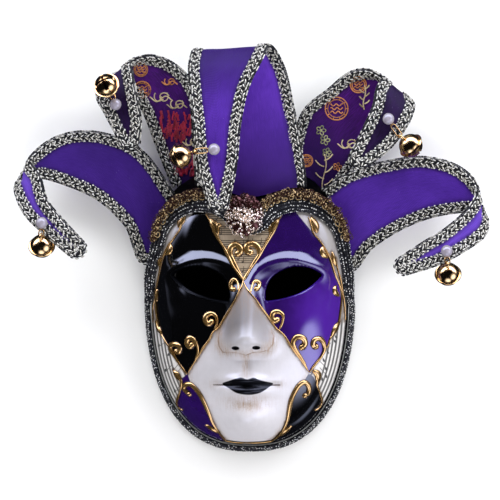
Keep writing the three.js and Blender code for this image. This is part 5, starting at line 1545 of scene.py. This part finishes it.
def makeBellMesh():  # two pressed halves with a seam flange, slots and a loop; made once about its own axis
    rise = math.asin(bell["flangeHigh"] / 2 / bell["radius"])
    lip, high = bell["flange"], bell["flangeHigh"] / 2
    arc = lambda radius, *span: [(radius * math.cos(t), radius * math.sin(t)) for t in np.linspace(*span)]
    edge = [(lip - 0.35, -high), (lip, -0.3), (lip - 0.12, 0.0), (lip, 0.3), (lip - 0.35, high)]
    outside = arc(bell["radius"], -math.pi / 2, -rise, 16) + edge + arc(bell["radius"], rise, math.pi / 2, 16)
    inside = arc(bell["radius"] - bell["wall"], math.pi / 2, -math.pi / 2, 20)
    profile = [(max(r, 0) / 1000, 0, z / 1000) for r, z in outside + inside]
    mesh = bpy.data.meshes.new("bellProfile")
    mesh.from_pydata(profile, [(i, i + 1) for i in range(len(profile) - 1)], [])
    body = bpy.data.objects.new("bellProfile", mesh)
    scene.collection.objects.link(body)
    makeActive(body)
    spin = lambda: bpy.ops.mesh.spin(steps=48, angle=2 * math.pi, center=(0, 0, 0), axis=(0, 0, 1))
    inEditMode(spin, weld, bpy.ops.mesh.delete_loose, faceOut)
    for cutter in list(slotCutters()):
        makeActive(body)
        cut = body.modifiers.new("slot", "BOOLEAN")
        cut.object, cut.operation, cut.solver = cutter, "DIFFERENCE", "EXACT"
        bpy.ops.object.modifier_apply(modifier="slot")
        bpy.data.objects.remove(cutter)
    bpy.ops.mesh.primitive_torus_add(
        major_radius=bell["loop"] / 1000, minor_radius=bell["loopWire"] / 1000, major_segments=32,
        minor_segments=10, location=(0, 0, bellLoopHigh / 1000), rotation=(math.pi / 2, 0, 0))
    ring = placed()
    lying = (0.002, 0.001, -0.0055)
    bpy.ops.mesh.primitive_ico_sphere_add(subdivisions=3, radius=bell["pellet"] / 1000, location=lying)
    pellet = placed()
    makeActive(body)
    for part in (ring, pellet):
        part.select_set(True)
    bpy.ops.object.join()
    bpy.ops.object.shade_smooth_by_angle(angle=math.radians(35))
    made = body.data
    inner = np.linalg.norm(np.array([v.co for v in made.vertices]) * 1000, axis=1) < bell["radius"] - 0.4
    setValues(body, "tone", 0.75 - 0.6 * inner)
    made.materials.clear()
    made.materials.append(brassFinish)
    bpy.data.objects.remove(body)
    return made


def standing(mesh, x, y, z, place):  # turns and moves a mesh to its place on the mask
    axes = np.column_stack([x, y, z, inFrame([place])[0]])
    mesh.transform(Matrix(np.vstack([axes, [0, 0, 0, 1]]).tolist()))


def makePearl(name, centre, holeWay):  # drilled pearl, its hole along the wire
    bpy.ops.object.select_all(action="DESELECT")
    bpy.ops.mesh.primitive_uv_sphere_add(segments=36, ring_count=24, radius=pearl["radius"] / 1000)
    ball = bpy.context.object
    ball.name = ball.data.name = f"pearl_bead_{name}"
    bpy.ops.object.mode_set(mode="EDIT")
    body = bmesh.from_edit_mesh(ball.data)
    bpy.ops.mesh.select_all(action="DESELECT")
    for patch in body.faces:
        patch.select = abs(patch.calc_center_median().z) > pearl["radius"] * 0.985 / 1000
    bmesh.update_edit_mesh(ball.data)
    bpy.ops.mesh.inset(thickness=0.0001, depth=0)
    for patch in body.faces:
        if patch.select:
            for vert in patch.verts:
                vert.co *= 0.9
    bmesh.update_edit_mesh(ball.data)
    bpy.ops.object.mode_set(mode="OBJECT")
    z = unit(np.asarray(holeWay))
    x = unit(np.cross(z, [0.3, 0.2, 0.8]))
    standing(ball.data, x, np.cross(z, x), z, centre)
    dress(ball, [nacreFinish])
    bpy.ops.object.shade_smooth()
    return ball


bellMesh = makeBellMesh()
for name, setup in horns.items():
    along, across, foot = setup["pearl"]
    reach, toward, hang = setup["bell"]
    surface = surfaces[name]
    front = surface.frameAt(np.array([along]))[3][0]
    front = front if front[2] > 0 else -front
    seat = surface.pointAt(np.array([along]), np.array([across]))[0]
    pearlAt = seat + front * (foot + pearl["radius"])
    toward, hang = np.array(toward, float), unit(np.array(hang, float))
    toward = unit(toward - front * (toward @ front))
    level = pearlAt - front * link["drop"]
    loopAt = level + toward * reach
    pearlSide = math.sqrt(pearl["radius"] ** 2 - link["drop"] ** 2) + link["wire"] + link["clear"]
    start = level + toward * pearlSide
    end = loopAt + hang * (-bell["loop"] + bell["loopWire"] + link["wire"] + link["clear"])
    settle(makePearl(name, pearlAt, toward), "pearl", f"pearl_{name}")

    ahead = unit(end - start)
    side = unit(np.cross(front, ahead))
    up = np.cross(ahead, side)
    half = link["halfWidth"]
    turn = np.linspace(0, math.pi, 13)[:, None]
    bend = ahead * half * (1 - np.sin(turn)) + side * half * np.cos(turn)
    oval = np.vstack([start + bend, end - bend])
    tie = np.array([start - toward * (pearlSide - 2.2), start + ahead * 0.2, start + ahead * 0.9 + up * 1.0])
    tieLine = smoothCurve(tie)(np.linspace(0, 1, 14))
    ring = (*sweep(oval, np.tile(up, (len(oval), 1)), link["wire"], link["wire"], 8, True), 0, 0.8)
    thread = (*sweep(tieLine, np.tile(front, (len(tieLine), 1)), 0.35, 0.35, 6), 0, 0.5)
    settle(newPiece(f"wire_link_{name}", [ring, thread], [brassFinish]), "brass", f"link_{name}")

    flank = unit(np.cross(hang, front))
    jingle = bpy.data.objects.new(f"jingle_bell_{name}", bellMesh.copy())
    scene.collection.objects.link(jingle)
    standing(jingle.data, np.cross(flank, -hang), flank, -hang, loopAt + hang * bellLoopHigh)
    settle(jingle, "brass", f"bell_{name}")
print("charms made")

for name, made in hornPieces.items():
    [made[part] for part in ("braid", "stitched") if part in made]

# Stage: pale floor, soft boxes round the mask, dim room
floorSetup = {"size": 9.0, "below": 0.0006, "maskShadow": ((0, 10), (0.068, 0.098), 1.0, 0.94),
              "card": ((121, -154), (1.0, 1.0), 0.055, 0.012)}


def floorSpot(tree, centre, halves, low, high):  # an oval on the floor
    x, y, _ = inFrame([(*centre, 0)])[0]
    wide, tall = halves
    away = scaled(tree, objectPlace(tree), (1 / wide, 1 / tall, 0), (-x / wide, -y / tall, 0))
    length = put(tree, "ShaderNodeVectorMath", {0: away}, operation="LENGTH").outputs["Value"]
    return between(tree, length, low, high)


bpy.ops.object.select_all(action="DESELECT")
bpy.ops.mesh.primitive_plane_add(size=floorSetup["size"], location=(0, 0, -floorSetup["below"]))
floor = bpy.context.object
floor.name = "floor"
floorFinish, tree, shader = newFinish("paleFloor", Roughness=0.9, Specular_IOR_Level=0.0)
speckle = blend(tree, noise(tree, objectPlace(tree), 3.0, 2.0), (0.93, 0.93, 0.93, 1), (0.95, 0.95, 0.95, 1))
maskShadow, card = (floorSpot(tree, *floorSetup[spot]) for spot in ("maskShadow", "card"))
# painted shadow: the floor under the mask is black
speckle = blend(tree, maskShadow, speckle, (0.004, 0.004, 0.004, 1))  # no light comes back from inside the mask
cards = blend(tree, card, (0.01, 0.011, 0.016, 1), (0.5, 0.55, 0.75, 1))  # a pale card by the chin
mirrored = put(tree, "ShaderNodeLightPath").outputs["Is Glossy Ray"]  # dark in the lacquer, like black cards
wire(tree, shader, Base_Color=blend(tree, mirrored, speckle, cards))
dress(floor, [floorFinish])

softBoxes = {  # where it stands (metres from the mask's middle), size, watts, colour
    "crownStrip": ((0.0, 1.1, 0.83), (1.7, 0.48), 12.0, (0.97, 0.98, 1.0)),
    "crownLeft": ((-0.87, 0.82, 0.69), (0.95, 0.72), 8.2, (0.97, 0.98, 1.0)),
    "crownRight": ((0.87, 0.82, 0.69), (0.95, 0.72), 10.4, (0.97, 0.98, 1.0)),
    "cheekBox": ((1.1, -0.51, 0.7), (0.55, 0.5), 3.4, (0.96, 0.97, 1.0)),
    "leftSide": ((-1.35, -0.35, 0.55), (0.8, 0.6), 3.2, (1.0, 0.99, 0.98)),
    "rightSide": ((1.35, -0.35, 0.55), (0.8, 0.6), 5.6, (1.0, 0.99, 0.98)),
    "chinBox": ((0.1, -1.25, 0.7), (1.6, 0.5), 5.0, (1.0, 0.99, 0.98)),
    "chinFill": ((0.2, -1.1, 1.2), (1.4, 1.0), 9.0, (1.0, 0.99, 0.98)),
}
for name, (place, size, watts, colour) in softBoxes.items():
    spot = target + Vector(place)
    bpy.ops.object.light_add(type="AREA", location=spot)
    lamp = bpy.context.object
    lamp.name = lamp.data.name = name
    lamp.data.shape, lamp.data.size, lamp.data.size_y = "RECTANGLE", size[0], size[1]
    lamp.data.energy, lamp.data.color = watts, colour
    lamp.visible_glossy = False  # the room below is what shiny things mirror
    lamp.rotation_euler = (target - spot).to_track_quat("-Z", "Y").to_euler()

room = bpy.data.worlds.new("room")
scene.world = room
room.use_nodes = True
tree = room.node_tree
tree.nodes.clear()
path = put(tree, "ShaderNodeLightPath").outputs
heading = put(tree, "ShaderNodeTexCoord").outputs["Generated"]
compass = axesOf(tree, heading)
zenith = maths(tree, "ARCCOSINE", compass["Z"])
crownTurn = maths(tree, "ARCTAN2", compass["Y"], maths(tree, "ABSOLUTE", compass["X"]))
roomGlow = {"bow": 7.1, "rest": 0.009, "patches": [  # way, half angle, softness, fall-off, strength
    ((1.1, -0.56, 0.74), 21, 21, 4.5, 4.0), ((0.0, -0.95, 0.42), 18, 14, 2.2, 3.2)]}


def degrees(value, low, high, *span):
    return between(tree, value, math.radians(low), math.radians(high), *span)


def patch(way, half, soft, fall, strength):  # a round soft light in the room, by degrees from its middle
    wires = {0: heading, 1: Vector(way).normalized()}
    facing = put(tree, "ShaderNodeVectorMath", wires, operation="DOT_PRODUCT").outputs["Value"]
    glow = between(tree, facing, math.cos(math.radians(half + soft)), math.cos(math.radians(half - soft)))
    return times(tree, maths(tree, "POWER", glow, fall), strength)


def backdrop(colour, strength):
    return put(tree, "ShaderNodeBackground", {"Color": colour, "Strength": strength}).outputs[0]


def forRays(kind, others, these):
    return put(tree, "ShaderNodeMixShader", {0: path[kind], 1: others, 2: these}).outputs[0]


# a wide soft bow over the crown, lower towards its ends: the crescents on the brows
dip = degrees(crownTurn, 78, 50, 0.0, math.radians(4))
bow = times(tree, degrees(maths(tree, "SUBTRACT", zenith, dip), 48, 54), degrees(zenith, 93, 78))
lower = maths(tree, "MAXIMUM", maths(tree, "SUBTRACT", zenith, math.radians(62)), 0.0)
ends = degrees(plus(tree, crownTurn, times(tree, lower, 0.8)), 18, 36, 0.0, roomGlow["bow"])
shine = plus(tree, times(tree, bow, ends), roomGlow["rest"])
for setup in roomGlow["patches"]:
    shine = plus(tree, shine, patch(*setup))
light = forRays("Is Diffuse Ray", backdrop((0.9, 0.9, 0.92, 1), 0.02), backdrop((0.95, 0.95, 1.0, 1), 0.16))
light = forRays("Is Glossy Ray", light, backdrop((0.66, 0.71, 1.0, 1), shine))
light = forRays("Is Camera Ray", light, backdrop((0.93, 0.93, 0.94, 1), 1.0))
put(tree, "ShaderNodeOutputWorld", {"Surface": light})
print("stage set")
